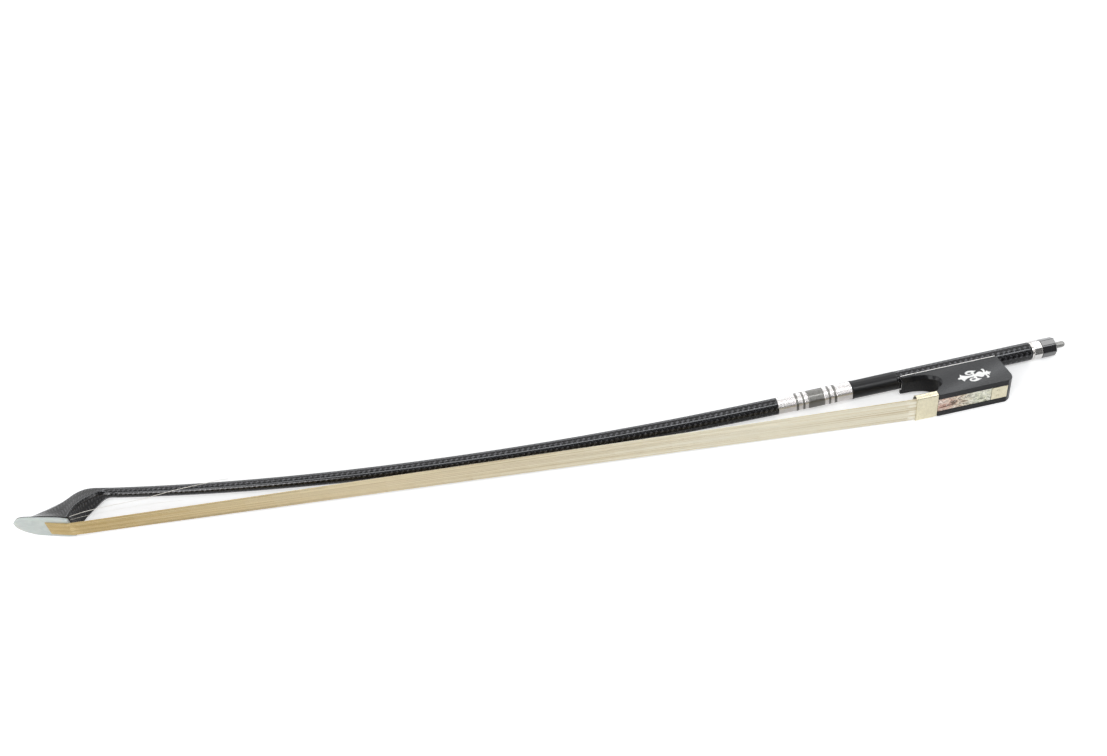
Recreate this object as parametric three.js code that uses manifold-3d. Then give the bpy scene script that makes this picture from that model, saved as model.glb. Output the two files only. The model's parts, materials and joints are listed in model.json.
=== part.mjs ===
// A double bass bow of the French pattern, lying on its side, in millimetres with +Z up.
// The pieces are drawn in the bow's own frame and the finished group is then laid down on its side.
// Bow frame: the origin is on the handle's axis at its butt, +X runs towards the button,
// +Y from the hair towards the stick, and +Z is the upper cheek's side.
import * as THREE from 'three';
import { mergeVertices } from 'three/addons/utils/BufferGeometryUtils.js';
import Module from 'manifold-3d';

const wasm = await Module();
wasm.setup();

// Stick
const handleFlats = 12.3; // across the flats of the octagonal handle
const neckThickness = 7.1; // shaft where the head begins
const taperStart = 78.5; // butt to where the stick starts to taper
const straightLength = 157.5; // butt to where the camber starts
const neckDistance = 628.5; // butt to the start of the head
const camberRise = 55.8; // neck above the handle's axis
const camberBendShare = 0.113; // share of the rise that comes from the sharper bend near the head
const roundStart = 247.5; // the octagon starts to soften here
const roundEnd = 557.5; // and the shaft is round from here

// Head and face plate
const headLength = 66; // neck to the tip of the face plate
const headDrop = 26.6; // neck's centre to the back edge of the face plate
const headWidth = 18; // face plate at its widest
const plateThickness = 1.9;
const linerThickness = 0.45;
const mortiseLength = 11.2;
const mortiseWidth = 11.6;
const headMortiseDepth = 8.4;

// Winding and leather
const leatherFront = 122.8; // butt to the end of the leather that meets the winding
const leatherBack = 91.7;
const windingLength = 50.2;
const windingWall = 0.35;
const wrapSeat = 0.3; // how far the stick is turned down under winding and leather
const bandDepth = 0.2; // how deep the dark bands sit in the winding
const leatherWall = 0.45;

// Frog
const frogHeel = 25; // butt to the frog's heel
const frogLength = 65.5; // heel to the front of the nose
const frogTop = 4.07; // the lining's rims on the cheeks below the handle's axis
const frogUnderside = 31.07; // underside below the handle's axis
const frogTopWidth = 13.96;
const frogBottomWidth = 18.96;
const noseHeight = 4.9; // cheek's top edge to the nose's lower face
const recessDepth = 21.6; // nose's front to the back wall of the thumb recess
const noseChamfer = 3;
const undersideWall = 0.5; // metal lining between frog and handle

// Ferrule and hair
const ferruleLength = 14.3;
const ferruleWidth = 20;
const ferruleHeight = 7.5;
const ferruleWall = 0.7;
const ferruleCorner = 1.3;
const hairThickness = 0.9;
const hairBend = 0.9; // radius at which the hair folds over its plugs
const hairGrip = 9.3; // hair of the free span that lies inside the ferrule

// Slide and heel plate
const slideWidth = 10;
const pearlThickness = 1;
const slideBaseThickness = 1.55;
const dovetail = 0.7; // how much wider the slide's back is on each side
const heelPlateLength = 10.5;
const heelPlateThickness = 0.9;
const heelToe = 4.3; // heel to the end of the flat underside

// Screw, eyelet and button
const screwThread = 3.2;
const screwShank = 2.6;
const screwPitch = 0.8;
const screwTail = 18; // screw beyond the middle of the eyelet
const threadLead = 24; // thread between the eyelet's middle and the butt
const threadTail = 8; // thread beyond the eyelet's middle
const coreDiameter = 8.4; // drilled insert in the handle
const coreTail = 12; // insert beyond the screw's end
const boreDiameter = 3.8;
const eyeletShare = 0.588; // middle of the eyelet, as a share of the frog's length from its heel
const eyeletLength = 6;
const eyeletWidth = 5.2;
const eyeletHeight = 6.2;
const eyeletShank = 4;
const eyeletShankLength = 7;
const frogTravel = 8;
const buttonFlats = 12;
const buttonTurn = 14.5 * (Math.PI / 180); // the button's facets stand turned from the handle's
const buttonLength = 17.2;
const ringLength = 7.1;
const ringLip = 1;
const ringLipDiameter = 12.5;
const ringGroove = 0.7;
const nippleDiameter = 4;
const nippleLength = 7.9;

// Cheek inlay
const inlayLength = 22.4;
const inlayHeight = 11.6;
const inlayThickness = 0.7;

// Clearances
const seatGap = 0.25; // between pieces that touch on the real bow
const sleeveGap = 0.15; // between the stick and what is wound round it
const runGap = 0.3; // between pieces that slide or turn
const overrun = 2; // how far a cut runs past the surface

const roundSides = 20;
const octagonTurn = Math.PI / 8;
const octagonShare = Math.tan(octagonTurn); // half a facet over the inner radius

const materials = {
  carbon: [0x1b1c1f, 0.25, 0.1],
  ebony: [0x141415, 0.35, 0],
  hardwood: [0x8a5a33, 0.7, 0],
  plateWhite: [0xd9d9d4, 0.35, 0],
  linerBlack: [0x111111, 0.5, 0],
  hair: [0xcdb98c, 0.6, 0],
  silver: [0xd8d4cf, 0.25, 1],
  bandDark: [0x34322f, 0.45, 0.4],
  leather: [0x17181a, 0.5, 0],
  nickelSilver: [0xe2d9bd, 0.3, 1],
  pearl: [0xcfc4bd, 0.25, 0],
  inlayWhite: [0xe8e8e4, 0.25, 0],
  brass: [0xb08d4a, 0.35, 1],
  steel: [0x8d8a86, 0.4, 1],
};

const bow = new THREE.Group();

// Adds a named piece to the bow, with its faces pointing out.
function addPiece(name, shape, finish) {
  const geometry = shape.isBufferGeometry ? shape : geometryOf(shape);
  const [color, roughness, metalness] = materials[finish];
  geometry.computeVertexNormals();
  const mesh = new THREE.Mesh(geometry, new THREE.MeshStandardMaterial({ color, roughness, metalness }));
  mesh.name = name;
  bow.add(mesh);
}

// Turns a closed mesh into a solid for joining and cutting.
function solidOf(source) {
  const geometry = source.clone();
  geometry.deleteAttribute('normal');
  geometry.deleteAttribute('uv');
  const merged = mergeVertices(geometry);
  const vertProperties = new Float32Array(merged.attributes.position.array);
  const triVerts = new Uint32Array(merged.index.array);
  const solid = new wasm.Manifold(new wasm.Mesh({ numProp: 3, vertProperties, triVerts }));
  return solid;
}

function geometryOf(solid) {
  const mesh = solid.getMesh();
  const geometry = new THREE.BufferGeometry();
  const stride = mesh.numProp;
  const positions = [];
  for (let i = 0; i < mesh.vertProperties.length; i += stride) {
    positions.push(mesh.vertProperties[i], mesh.vertProperties[i + 1], mesh.vertProperties[i + 2]);
  }
  geometry.setAttribute('position', new THREE.Float32BufferAttribute(positions, 3));
  geometry.setIndex([...mesh.triVerts]);
  return geometry;
}

// Joins rings of points into a closed skin, with a fan over each end.
function loft(rings) {
  const count = rings[0].length;
  const positions = [];
  const indices = [];
  rings.forEach((ring) => ring.forEach((p) => positions.push(p.x, p.y, p.z)));
  for (let i = 0; i < rings.length - 1; i += 1) {
    for (let k = 0; k < count; k += 1) {
      const next = (k + 1) % count;
      const a = i * count + k;
      const b = i * count + next;
      indices.push(a, b, a + count, b, b + count, a + count);
    }
  }
  [0, rings.length - 1].forEach((i) => {
    const middle = new THREE.Vector3();
    rings[i].forEach((p) => middle.addScaledVector(p, 1 / count));
    const centre = positions.length / 3;
    positions.push(middle.x, middle.y, middle.z);
    for (let k = 0; k < count; k += 1) {
      const a = i * count + k;
      const b = i * count + ((k + 1) % count);
      if (i === 0) indices.push(centre, b, a);
      else indices.push(centre, a, b);
    }
  });
  return facingOut(positions, indices);
}

// Builds the mesh and turns it right side out if its volume comes out negative.
function facingOut(positions, indices) {
  const at = (i) => new THREE.Vector3().fromArray(positions, 3 * i);
  let volume = 0;
  for (let i = 0; i < indices.length; i += 3) {
    volume += at(indices[i]).dot(at(indices[i + 1]).cross(at(indices[i + 2])));
  }
  if (volume < 0) indices.reverse();
  const geometry = new THREE.BufferGeometry();
  geometry.setAttribute('position', new THREE.Float32BufferAttribute(positions, 3));
  geometry.setIndex(indices);
  return geometry;
}

const xAxis = new THREE.Vector3(1, 0, 0);
const yAxis = new THREE.Vector3(0, 1, 0);
const zAxis = new THREE.Vector3(0, 0, 1);

// Extrudes an outline of [a, b] points along the third axis, from one place to another.
function prism(points, from, to, [aAxis, bAxis, depthAxis]) {
  const shape = points.isShape ? points : new THREE.Shape(points.map(([a, b]) => new THREE.Vector2(a, b)));
  const geometry = new THREE.ExtrudeGeometry(shape, {
    depth: to - from, bevelEnabled: false, curveSegments: roundSides / 4,
  });
  geometry.applyMatrix4(new THREE.Matrix4().makeBasis(aAxis, bAxis, depthAxis));
  geometry.translate(depthAxis.x * from, depthAxis.y * from, depthAxis.z * from);
  return geometry;
}
const alongX = [yAxis, zAxis, xAxis]; // outline in [y, z]
const alongY = [zAxis, xAxis, yAxis]; // outline in [z, x]
const alongZ = [xAxis, yAxis, zAxis]; // outline in [x, y]

const prismSolid = (points, from, to, axes) => solidOf(prism(points, from, to, axes));

function circle(radius, [a, b] = [0, 0], sides = roundSides) {
  return Array.from({ length: sides }, (_, i) => {
    const angle = (2 * Math.PI * i) / sides;
    return [a + radius * Math.cos(angle), b + radius * Math.sin(angle)];
  });
}

// An octagon with flats facing along both axes, or turned from there.
function octagon(flats, turned = 0) {
  const radius = flats / 2 / Math.cos(octagonTurn);
  return Array.from({ length: 8 }, (_, i) => {
    const angle = octagonTurn + turned + (i * Math.PI) / 4;
    return [radius * Math.cos(angle), radius * Math.sin(angle)];
  });
}

const rectangle = (a0, a1, b0, b1) => [[a0, b0], [a1, b0], [a1, b1], [a0, b1]];

const smooth = (t) => {
  const s = Math.min(Math.max(t, 0), 1);
  return s * s * (3 - 2 * s);
};

// Stick: where its middle runs, how thick it is and what its sections look like
function camber(x) {
  const t = Math.max(-x - straightLength, 0) / (neckDistance - straightLength);
  return camberRise * ((1 - camberBendShare) * t ** 2 + camberBendShare * t ** 4);
}

function stickRadius(x) {
  const t = Math.max(-x - taperStart, 0) / (neckDistance - taperStart);
  const wrapped = -x >= leatherBack && -x <= leatherFront + windingLength;
  return handleFlats / 2 + t * (neckThickness - handleFlats) / 2 - (wrapped ? wrapSeat : 0);
}

// A section square to the stick, as sixteen points: facet middles and corners in turn.
function stickRing(x, extra = 0) {
  const step = 1;
  const slope = (camber(x + step) - camber(x - step)) / (2 * step);
  const up = new THREE.Vector3(-slope, 1, 0).normalize();
  const middle = new THREE.Vector3(x, camber(x), 0);
  const softness = smooth((-x - roundStart) / (roundEnd - roundStart));
  const radius = stickRadius(x) + extra;
  return Array.from({ length: 16 }, (_, k) => {
    const sharp = k % 2 ? 1 / Math.cos(octagonTurn) : 1;
    const reach = radius * (sharp + (1 - sharp) * softness);
    return middle.clone()
      .addScaledVector(up, reach * Math.cos(k * octagonTurn))
      .addScaledVector(zAxis, reach * Math.sin(k * octagonTurn));
  });
}

// Head: places are shares of its length and drop, counted from the neck
const headPoint = (u, v) => new THREE.Vector3(-neckDistance - u * headLength, camberRise + v * headDrop, 0);

// Hair side of the face plate: [along, up, half width], from its back edge to its tip
const plateShares = [
  [0.344, -1, 0.88], [0.433, -0.929, 0.99], [0.561, -0.823, 0.985], [0.682, -0.726, 0.955],
  [0.788, -0.632, 0.9], [0.871, -0.545, 0.78], [0.932, -0.485, 0.59], [0.974, -0.44, 0.28],
  [0.998, -0.368, 0.04],
];
const plateCurve = new THREE.CatmullRomCurve3(plateShares.map(([u, v]) => headPoint(u, v)));
const plateEnds = plateShares.length - 1;

// A point off the face plate's hair side, at a share of its run, and so far into the head.
function plateOffset(share, inward) {
  const tangent = plateCurve.getTangent(share);
  return plateCurve.getPoint(share).addScaledVector(new THREE.Vector3(tangent.y, -tangent.x, 0), inward);
}

function plateHalfWidth(share) {
  const place = share * plateEnds;
  const row = Math.min(Math.floor(place), plateEnds - 1);
  const mix = place - row;
  return (headWidth / 2) * ((1 - mix) * plateShares[row][2] + mix * plateShares[row + 1][2]);
}

// A flat layer under the head, between two depths from its hair side, as far as a share of the plate's run.
function plateLayer(outer, inner, widthShare, lastShare = 1) {
  const places = Array.from({ length: 2 * plateEnds + 1 }, (_, i) => (lastShare * i) / (2 * plateEnds));
  return loft(places.map((share) => {
    const half = plateHalfWidth(share) * widthShare;
    const low = plateOffset(share, outer);
    const high = plateOffset(share, inner);
    return [
      low.clone().setZ(-half), low.clone().setZ(half), high.clone().setZ(half), high.clone().setZ(-half),
    ];
  }));
}

const linerDepth = plateThickness + sleeveGap;
const headFaceDepth = linerDepth + linerThickness + sleeveGap;

// Head sections from the neck to the tip: the lower and upper ends in shares, then the shape.
// Each shape is [lower half width, lower flat, lower chamfer, upper half width, upper flat, upper chamfer].
const throatShares = [
  [[0.094, -0.107], [0.091, 0.192], [0.54, 0.3, 0.2, 0.41, 0.18, 0.75]],
  [[0.171, -0.25], [0.189, 0.256], [0.7, 0.5, 0.12, 0.46, 0.2, 0.8]],
  [[0.232, -0.378], [0.28, 0.259], [0.82, 0.66, 0.09, 0.5, 0.23, 0.83]],
  [[0.283, -0.518], [0.371, 0.169], [0.9, 0.78, 0.07, 0.53, 0.25, 0.84]],
  [[0.325, -0.7], [0.477, -0.034], [0.94, 0.87, 0.05, 0.55, 0.26, 0.84]],
];
// Over the face plate the lower end is a share of the plate's run.
const beakShares = [
  [0.03, [0.576, -0.139], [0.95, 0.92, 0.03, 0.56, 0.26, 0.82]],
  [0.125, [0.636, -0.199], [0.955, 0.93, 0.03, 0.56, 0.26, 0.8]],
  [0.25, [0.705, -0.263], [0.95, 0.925, 0.03, 0.55, 0.26, 0.77]],
  [0.36, [0.762, -0.316], [0.92, 0.895, 0.04, 0.53, 0.26, 0.73]],
  [0.45, [0.8, -0.354], [0.86, 0.835, 0.06, 0.5, 0.26, 0.68]],
  [0.54, [0.829, -0.382], [0.75, 0.72, 0.1, 0.4, 0.24, 0.6]],
  [0.62, [0.848, -0.408], [0.56, 0.53, 0.15, 0.28, 0.18, 0.6]],
];

function headRing(low, high, [lowWidth, lowFlat, lowChamfer, highWidth, highFlat, highChamfer]) {
  const half = headWidth / 2;
  const corners = [
    [1, highFlat], [highChamfer, highWidth], [lowChamfer, lowWidth], [0, lowFlat],
  ];
  const side = [[1, 0], corners[0], null, corners[1], null, corners[2], null, corners[3]];
  [2, 4, 6].forEach((i) => {
    side[i] = [(side[i - 1][0] + side[i + 1][0]) / 2, (side[i - 1][1] + side[i + 1][1]) / 2];
  });
  const all = [...side, [0, 0], ...side.slice(1).reverse().map(([up, out]) => [up, -out])];
  return all.map(([up, out]) => low.clone().lerp(high, up).setZ(out * half));
}

function headRings() {
  const throat = throatShares.map(([low, high, shape]) => headRing(headPoint(...low), headPoint(...high), shape));
  const beak = beakShares.map(([share, high, shape]) => (
    headRing(plateOffset(share, headFaceDepth), headPoint(...high), shape)));
  return [...throat, ...beak];
}

// Head mortise: its own small frame, square to the face plate
const mortiseShare = 0.217; // place along the plate
const mortiseMiddle = plateOffset(mortiseShare, 0);
const mortiseTip = plateCurve.getTangent(mortiseShare);
const mortiseIn = new THREE.Vector3(mortiseTip.y, -mortiseTip.x, 0);
const mortisePoint = (back, inward) => (
  mortiseMiddle.clone().addScaledVector(mortiseTip, -back).addScaledVector(mortiseIn, inward));

// A block in the head mortise, as wide as given and between two places back and in.
function mortiseBlock(back0, back1, in0, in1, width) {
  const outline = [[back0, in0], [back1, in0], [back1, in1], [back0, in1]];
  return loft([-width / 2, width / 2].map((z) => outline.map(([back, inward]) => (
    mortisePoint(back, inward).setZ(z)))));
}

const mortiseCut = () => solidOf(mortiseBlock(
  -mortiseLength / 2, mortiseLength / 2, -overrun, headMortiseDepth, mortiseWidth));

// Handle bores: each reaches on from the eyelet, whose place the frog gives
const eyeletDistance = frogHeel + eyeletShare * frogLength;
const screwReach = eyeletDistance + screwTail;
const coreLength = screwReach + coreTail;
const threadStart = eyeletDistance - threadLead;
const threadLength = threadLead + threadTail;
const coreCavity = coreDiameter + 2 * seatGap;
const slotWidth = eyeletWidth + 2 * runGap;
const slotFront = -eyeletDistance - eyeletLength / 2 - 2 * runGap;
const slotBack = -eyeletDistance + eyeletLength / 2 + frogTravel + 2 * runGap;

const eyeletSlot = () => prismSolid(
  rectangle(-slotWidth / 2, slotWidth / 2, slotFront, slotBack),
  -handleFlats / 2 - overrun, eyeletHeight / 2 + runGap, alongY);

function stick() {
  const windingFront = leatherFront + windingLength;
  const places = [0, taperStart, leatherBack - sleeveGap, leatherBack, (leatherBack + windingFront) / 2,
    windingFront, windingFront + sleeveGap];
  const camberSteps = 15;
  for (let i = 1; i <= camberSteps; i += 1) {
    places.push(windingFront + ((neckDistance - windingFront) * i) / camberSteps);
  }
  const rings = [...places.map((distance) => stickRing(-distance)), ...headRings()];
  const cavity = prismSolid(circle(coreCavity / 2), -coreLength - seatGap, overrun, alongX);
  return solidOf(loft(rings)).subtract(cavity).subtract(eyeletSlot()).subtract(mortiseCut());
}

function handleCore() {
  const bore = prismSolid(circle(boreDiameter / 2), -screwReach - 2 * runGap, overrun, alongX);
  return prismSolid(circle(coreDiameter / 2), -coreLength, -seatGap, alongX)
    .subtract(bore).subtract(eyeletSlot());
}

// A sleeve round the stick, between two distances from the butt.
function sleeve(front, back, inner, outer) {
  const steps = 4;
  const ringsAt = (extra, margin) => Array.from({ length: steps + 1 }, (_, i) => (
    stickRing(-front - margin + ((front - back + 2 * margin) * i) / steps, extra)));
  return solidOf(loft(ringsAt(outer, 0))).subtract(solidOf(loft(ringsAt(inner, overrun))));
}

// Winding: a silver sleeve with turned grooves, which hold the dark bands
const windingFront = leatherFront + windingLength;
const bandShares = [[0.239, 0.269], [0.326, 0.354], [0.402, 0.622], [0.674, 0.704], [0.75, 0.784]];
const windingOuter = sleeveGap + windingWall;
const bandInner = windingOuter - bandDepth;

function winding() {
  let silver = sleeve(windingFront, leatherFront + seatGap, sleeveGap, windingOuter);
  bandShares.forEach(([from, to]) => {
    const front = windingFront - from * windingLength;
    const back = windingFront - to * windingLength;
    silver = silver.subtract(sleeve(front, back, bandInner - sleeveGap / 3, windingOuter + overrun));
  });
  return silver;
}

function windingBand([from, to]) {
  const margin = sleeveGap / 3;
  const front = windingFront - from * windingLength - margin;
  const back = windingFront - to * windingLength + margin;
  return sleeve(front, back, bandInner, windingOuter);
}

// Frog: its cheeks lean outwards towards the hair
const frogFront = -frogHeel - frogLength;
const frogHeight = frogUnderside - frogTop;
const rimLow = -frogTop - undersideWall;
const cheekTop = rimLow - sleeveGap;
const cheekLean = (frogBottomWidth - frogTopWidth) / 2 / frogHeight;
const cheekHalf = (y) => frogTopWidth / 2 + cheekLean * (-frogTop - y);
const ferruleFront = frogFront + 2 * seatGap;
const ferruleBack = ferruleFront + ferruleLength;
const ferruleInnerFlat = -frogUnderside + ferruleWall;
const archTop = -frogUnderside + ferruleHeight;
const archSpring = -frogUnderside + ferruleHeight * 0.45;

// The thumb recess from the nose round to the ferrule, as shares of its depth and of its height.
const noseLow = -frogTop - noseHeight;
const recessShares = [[0.37, 0.016], [0.65, 0.084], [0.856, 0.22], [0.972, 0.41], [1, 0.6], [0.972, 0.77],
  [0.88, 0.92]];
const recessPath = () => smoothPath(recessShares.map(([along, down]) => [
  frogFront + along * recessDepth, noseLow + down * (archTop - noseLow),
]));

// A smooth path through [a, b] points, with two steps between each pair.
function smoothPath(points) {
  const curve = new THREE.SplineCurve(points.map(([a, b]) => new THREE.Vector2(a, b)));
  return curve.getPoints(2 * (points.length - 1)).map((p) => [p.x, p.y]);
}

// Side view of the frog behind its tongue, from the nose's top round by the heel.
function frogOutline() {
  const bodyFront = ferruleBack + seatGap;
  const heel = smoothPath([
    [-frogHeel, -frogTop - frogHeight * 0.78], [-frogHeel - heelToe * 0.1, -frogTop - frogHeight * 0.87],
    [-frogHeel - heelToe * 0.38, -frogTop - frogHeight * 0.945], [-frogHeel - heelToe, -frogUnderside],
  ]);
  const nose = smoothPath([
    [frogFront + noseHeight * 0.6, noseLow], [frogFront + noseHeight * 0.2, noseLow + noseHeight * 0.12],
    [frogFront, noseLow + noseHeight * 0.4],
  ]);
  return [
    [frogFront, cheekTop], [-frogHeel - heelToe * 0.16, cheekTop], [-frogHeel, -frogTop - frogHeight * 0.08],
    ...heel, [bodyFront, -frogUnderside], [bodyFront, archTop], ...recessPath().reverse(), ...nose,
  ];
}

// The ferrule's section, drawn so far inside its outer skin: [y, z] points.
function ferruleSection(inset) {
  const half = ferruleWidth / 2 - inset;
  const flat = -frogUnderside + inset;
  const corner = Math.max(ferruleCorner - inset, ferruleCorner * 0.2);
  const points = [];
  const cornerSteps = 3;
  for (let i = 0; i <= cornerSteps; i += 1) {
    const angle = (Math.PI / 2) * (i / cornerSteps);
    points.push([flat + corner * (1 - Math.sin(angle)), -half + corner * (1 - Math.cos(angle))]);
  }
  points.reverse();
  const archSteps = 12;
  const arch = [];
  for (let i = 0; i <= archSteps; i += 1) {
    const angle = Math.PI * (i / archSteps);
    arch.push([archSpring + (archTop - inset - archSpring) * Math.sin(angle), -half * Math.cos(angle)]);
  }
  const left = points.map(([y, z]) => [y, z]).reverse();
  const right = left.map(([y, z]) => [y, -z]).reverse();
  return [...left.reverse(), ...arch, ...right.reverse()];
}

function ferrule() {
  const skin = prismSolid(ferruleSection(0), ferruleFront, ferruleBack, alongX);
  return skin.subtract(prismSolid(
    ferruleSection(ferruleWall), ferruleFront - overrun, ferruleBack + overrun, alongX));
}

// Hair: its layers are stacked up from the ferrule's flat
const hairMiddle = ferruleInnerFlat + runGap + hairThickness / 2;
const wedgeLow = hairMiddle + hairThickness / 2 + seatGap;
const wedgeThickness = 1.4;
const tongueLow = wedgeLow + wedgeThickness + seatGap;
const slideBaseTop = -frogUnderside + pearlThickness + sleeveGap + slideBaseThickness;
const frogHairMiddle = slideBaseTop + seatGap + hairThickness / 2;
const ferruleHairWidth = ferruleWidth - 2 * ferruleWall - 2 * runGap;
const mortiseHairWidth = mortiseWidth - 2 * seatGap;
const gripEnd = ferruleFront + hairGrip;

// Frog mortise
const frogMortiseBack = -frogHeel - heelToe - heelPlateLength - 7.2;
const frogMortiseFront = frogMortiseBack - mortiseLength;
const frogMortiseTop = -frogTop - frogHeight * 0.39;

// A ribbon of hair along a path of [x, y, width] points, with a section square to it.
function ribbon(path, extra = 0) {
  const half = hairThickness / 2 + extra;
  const points = path.map(([x, y]) => new THREE.Vector3(x, y, 0));
  return loft(path.map(([, , width], i) => {
    const before = points[Math.max(i - 1, 0)];
    const after = points[Math.min(i + 1, points.length - 1)];
    const first = points[i].clone().sub(before).normalize();
    const second = after.clone().sub(points[i]).normalize();
    const along = first.clone().add(second).normalize();
    const turn = Math.max(along.dot(i ? first : second), 0.5);
    const across = new THREE.Vector3(-along.y, along.x, 0).multiplyScalar(half / turn);
    const side = width / 2 + extra;
    return [
      points[i].clone().sub(across).setZ(-side), points[i].clone().sub(across).setZ(side),
      points[i].clone().add(across).setZ(side), points[i].clone().add(across).setZ(-side),
    ];
  }));
}

// Out of the head mortise, over its edge, along the face plate, and straight to the ferrule.
function spanPath() {
  const lie = seatGap + hairThickness / 2;
  const wallBack = -mortiseLength / 2 + lie;
  const path = [];
  const push = (point, width) => path.push([point.x, point.y, width]);
  push(mortisePoint(wallBack, headMortiseDepth * 0.62), mortiseHairWidth);
  const foldSteps = 4;
  for (let i = 0; i <= foldSteps; i += 1) {
    const angle = (Math.PI / 2) * (i / foldSteps);
    const back = wallBack + hairBend * (1 - Math.cos(angle));
    push(mortisePoint(back, hairBend - lie - hairBend * Math.sin(angle)), mortiseHairWidth);
  }
  [0.13, 0.06, 0].forEach((share) => push(plateOffset(share, -lie), mortiseHairWidth));
  const start = plateOffset(0, -lie);
  const end = new THREE.Vector3(ferruleFront, hairMiddle, 0);
  const spanSteps = 6;
  for (let i = 1; i <= spanSteps; i += 1) {
    const share = i / spanSteps;
    push(start.clone().lerp(end, share), mortiseHairWidth + share * (ferruleHairWidth - mortiseHairWidth));
  }
  path.push([gripEnd, hairMiddle, ferruleHairWidth]);
  return path;
}

// From the end of the grip, up over the slide's back and into the frog mortise.
function frogHairPath() {
  const rise = frogHairMiddle - hairMiddle;
  const rampStart = gripEnd + seatGap;
  const rampEnd = ferruleBack - seatGap;
  const wall = frogMortiseBack - seatGap - hairThickness / 2;
  const path = [
    [rampStart, hairMiddle, ferruleHairWidth],
    [rampEnd, hairMiddle + rise, ferruleHairWidth * 0.86],
    [rampEnd + hairGrip, frogHairMiddle, mortiseHairWidth],
  ];
  const foldSteps = 4;
  for (let i = 0; i <= foldSteps; i += 1) {
    const angle = (Math.PI / 2) * (i / foldSteps);
    path.push([
      wall - hairBend * (1 - Math.sin(angle)), frogHairMiddle + hairBend * (1 - Math.cos(angle)),
      mortiseHairWidth,
    ]);
  }
  path.push([wall, frogMortiseTop - (frogMortiseTop - frogHairMiddle) * 0.5, mortiseHairWidth]);
  return path;
}

// The tied end of the hair, a short bundle across the mortise.
function hairKnot(middle, radius, width) {
  const profile = [[0, -width / 2], [0.7, -width / 2], [1, -width / 3], [0.85, 0], [1, width / 3],
    [0.7, width / 2], [0, width / 2]];
  const geometry = new THREE.LatheGeometry(
    profile.map(([share, z]) => new THREE.Vector2(share * radius, z)), roundSides / 2);
  geometry.applyMatrix4(new THREE.Matrix4().makeBasis(xAxis, zAxis, yAxis.clone().negate()));
  geometry.translate(middle.x, middle.y, middle.z);
  return mergedFacingOut(geometry);
}

// Merges a turned shape's seam and its pole points, and drops the faces that close up.
function mergedFacingOut(source) {
  const geometry = source.clone();
  geometry.deleteAttribute('normal');
  geometry.deleteAttribute('uv');
  const merged = mergeVertices(geometry, 0.0001);
  const index = [...merged.index.array];
  const kept = [];
  for (let i = 0; i < index.length; i += 3) {
    const [a, b, c] = index.slice(i, i + 3);
    if (a !== b && b !== c && c !== a) kept.push(a, b, c);
  }
  return facingOut([...merged.attributes.position.array], kept);
}

// A turned piece on the handle's axis, from [distance along X, radius] points.
function turned(profile, sides) {
  const geometry = new THREE.LatheGeometry(
    profile.map(([x, radius]) => new THREE.Vector2(radius, x)), sides);
  geometry.applyMatrix4(new THREE.Matrix4().makeBasis(yAxis, xAxis, zAxis.clone().negate()));
  return mergedFacingOut(geometry);
}

// Saddle, lining, eyelet and pins
const liningInner = handleFlats / 2 + runGap;
const liningOuter = liningInner + undersideWall;
const saddleRadius = liningOuter + sleeveGap;
const pinDiameter = 1.3;
const pinPlaces = [frogFront + 9, -frogHeel - 9];
const pinLength = 3.6;
const liningPinLength = 1.8;
const shankHole = eyeletShank + 2 * seatGap;

// The three lower facets of an octagon round the handle, up to a height: [y, z] points.
function facetPath(inner, height) {
  const reach = inner * Math.SQRT2 + height;
  return [[height, -reach], [-inner, -inner * octagonShare], [-inner, inner * octagonShare], [height, reach]];
}

// Round the handle's three lower facets, with a rim on either side that covers the cheek's top edge.
function underslide() {
  const rim = cheekHalf(-frogTop);
  const lowRim = cheekHalf(rimLow);
  const outline = [
    ...facetPath(liningInner, -frogTop), [-frogTop, rim], [rimLow, lowRim],
    ...facetPath(liningOuter, rimLow).reverse(), [rimLow, -lowRim], [-frogTop, -rim],
  ];
  let lining = prismSolid(outline, frogFront + seatGap, -frogHeel - heelToe * 0.2, alongX);
  lining = lining.subtract(holeDown(-eyeletDistance, shankHole, 0, frogUnderside));
  pinPlaces.forEach((x) => {
    lining = lining.subtract(holeDown(x, pinDiameter + 2 * seatGap, 0, frogUnderside));
  });
  return lining;
}

// A round cutter or peg square to the handle, from one depth below the axis to another.
function holeDown(x, diameter, from, to, z = 0) {
  return prismSolid(circle(diameter / 2, [z, x], roundSides / 2), -to, -from, alongY);
}

function eyelet() {
  const half = eyeletHeight / 2;
  const round = eyeletWidth / 2;
  const head = [
    [-half, -round], [half - round * 0.7, -round], [half - round * 0.2, -round * 0.72], [half, -round * 0.3],
    [half, round * 0.3], [half - round * 0.2, round * 0.72], [half - round * 0.7, round], [-half, round],
  ];
  const x = -eyeletDistance;
  const bore = prismSolid(circle(screwThread / 2 + runGap), x - eyeletLength, x + eyeletLength, alongX);
  return prismSolid(head, x - eyeletLength / 2, x + eyeletLength / 2, alongX)
    .add(holeDown(x, eyeletShank, half - seatGap, handleFlats / 2 + eyeletShankLength))
    .subtract(bore);
}

// Slide, in a dovetail groove of the underside
const heelPlateBack = -frogHeel - heelToe;
const heelPlateFront = heelPlateBack - heelPlateLength;
const slideFront = ferruleBack + seatGap;
const slideBack = heelPlateFront - seatGap;

function slideOutline(low, high, lowHalf, highHalf) {
  return [[low, -lowHalf], [low, lowHalf], [high, highHalf], [high, -highHalf]];
}

function slideGroove() {
  const half = slideWidth / 2 + seatGap;
  const top = slideBaseTop + seatGap;
  const shoulder = -frogUnderside + pearlThickness;
  return prismSolid(rectangle(-frogUnderside - overrun, shoulder + sleeveGap, -half, half),
    slideFront - overrun, slideBack + seatGap, alongX)
    .add(prismSolid(slideOutline(shoulder, top, half, half + dovetail), slideFront - overrun,
      slideBack + seatGap, alongX));
}

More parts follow.
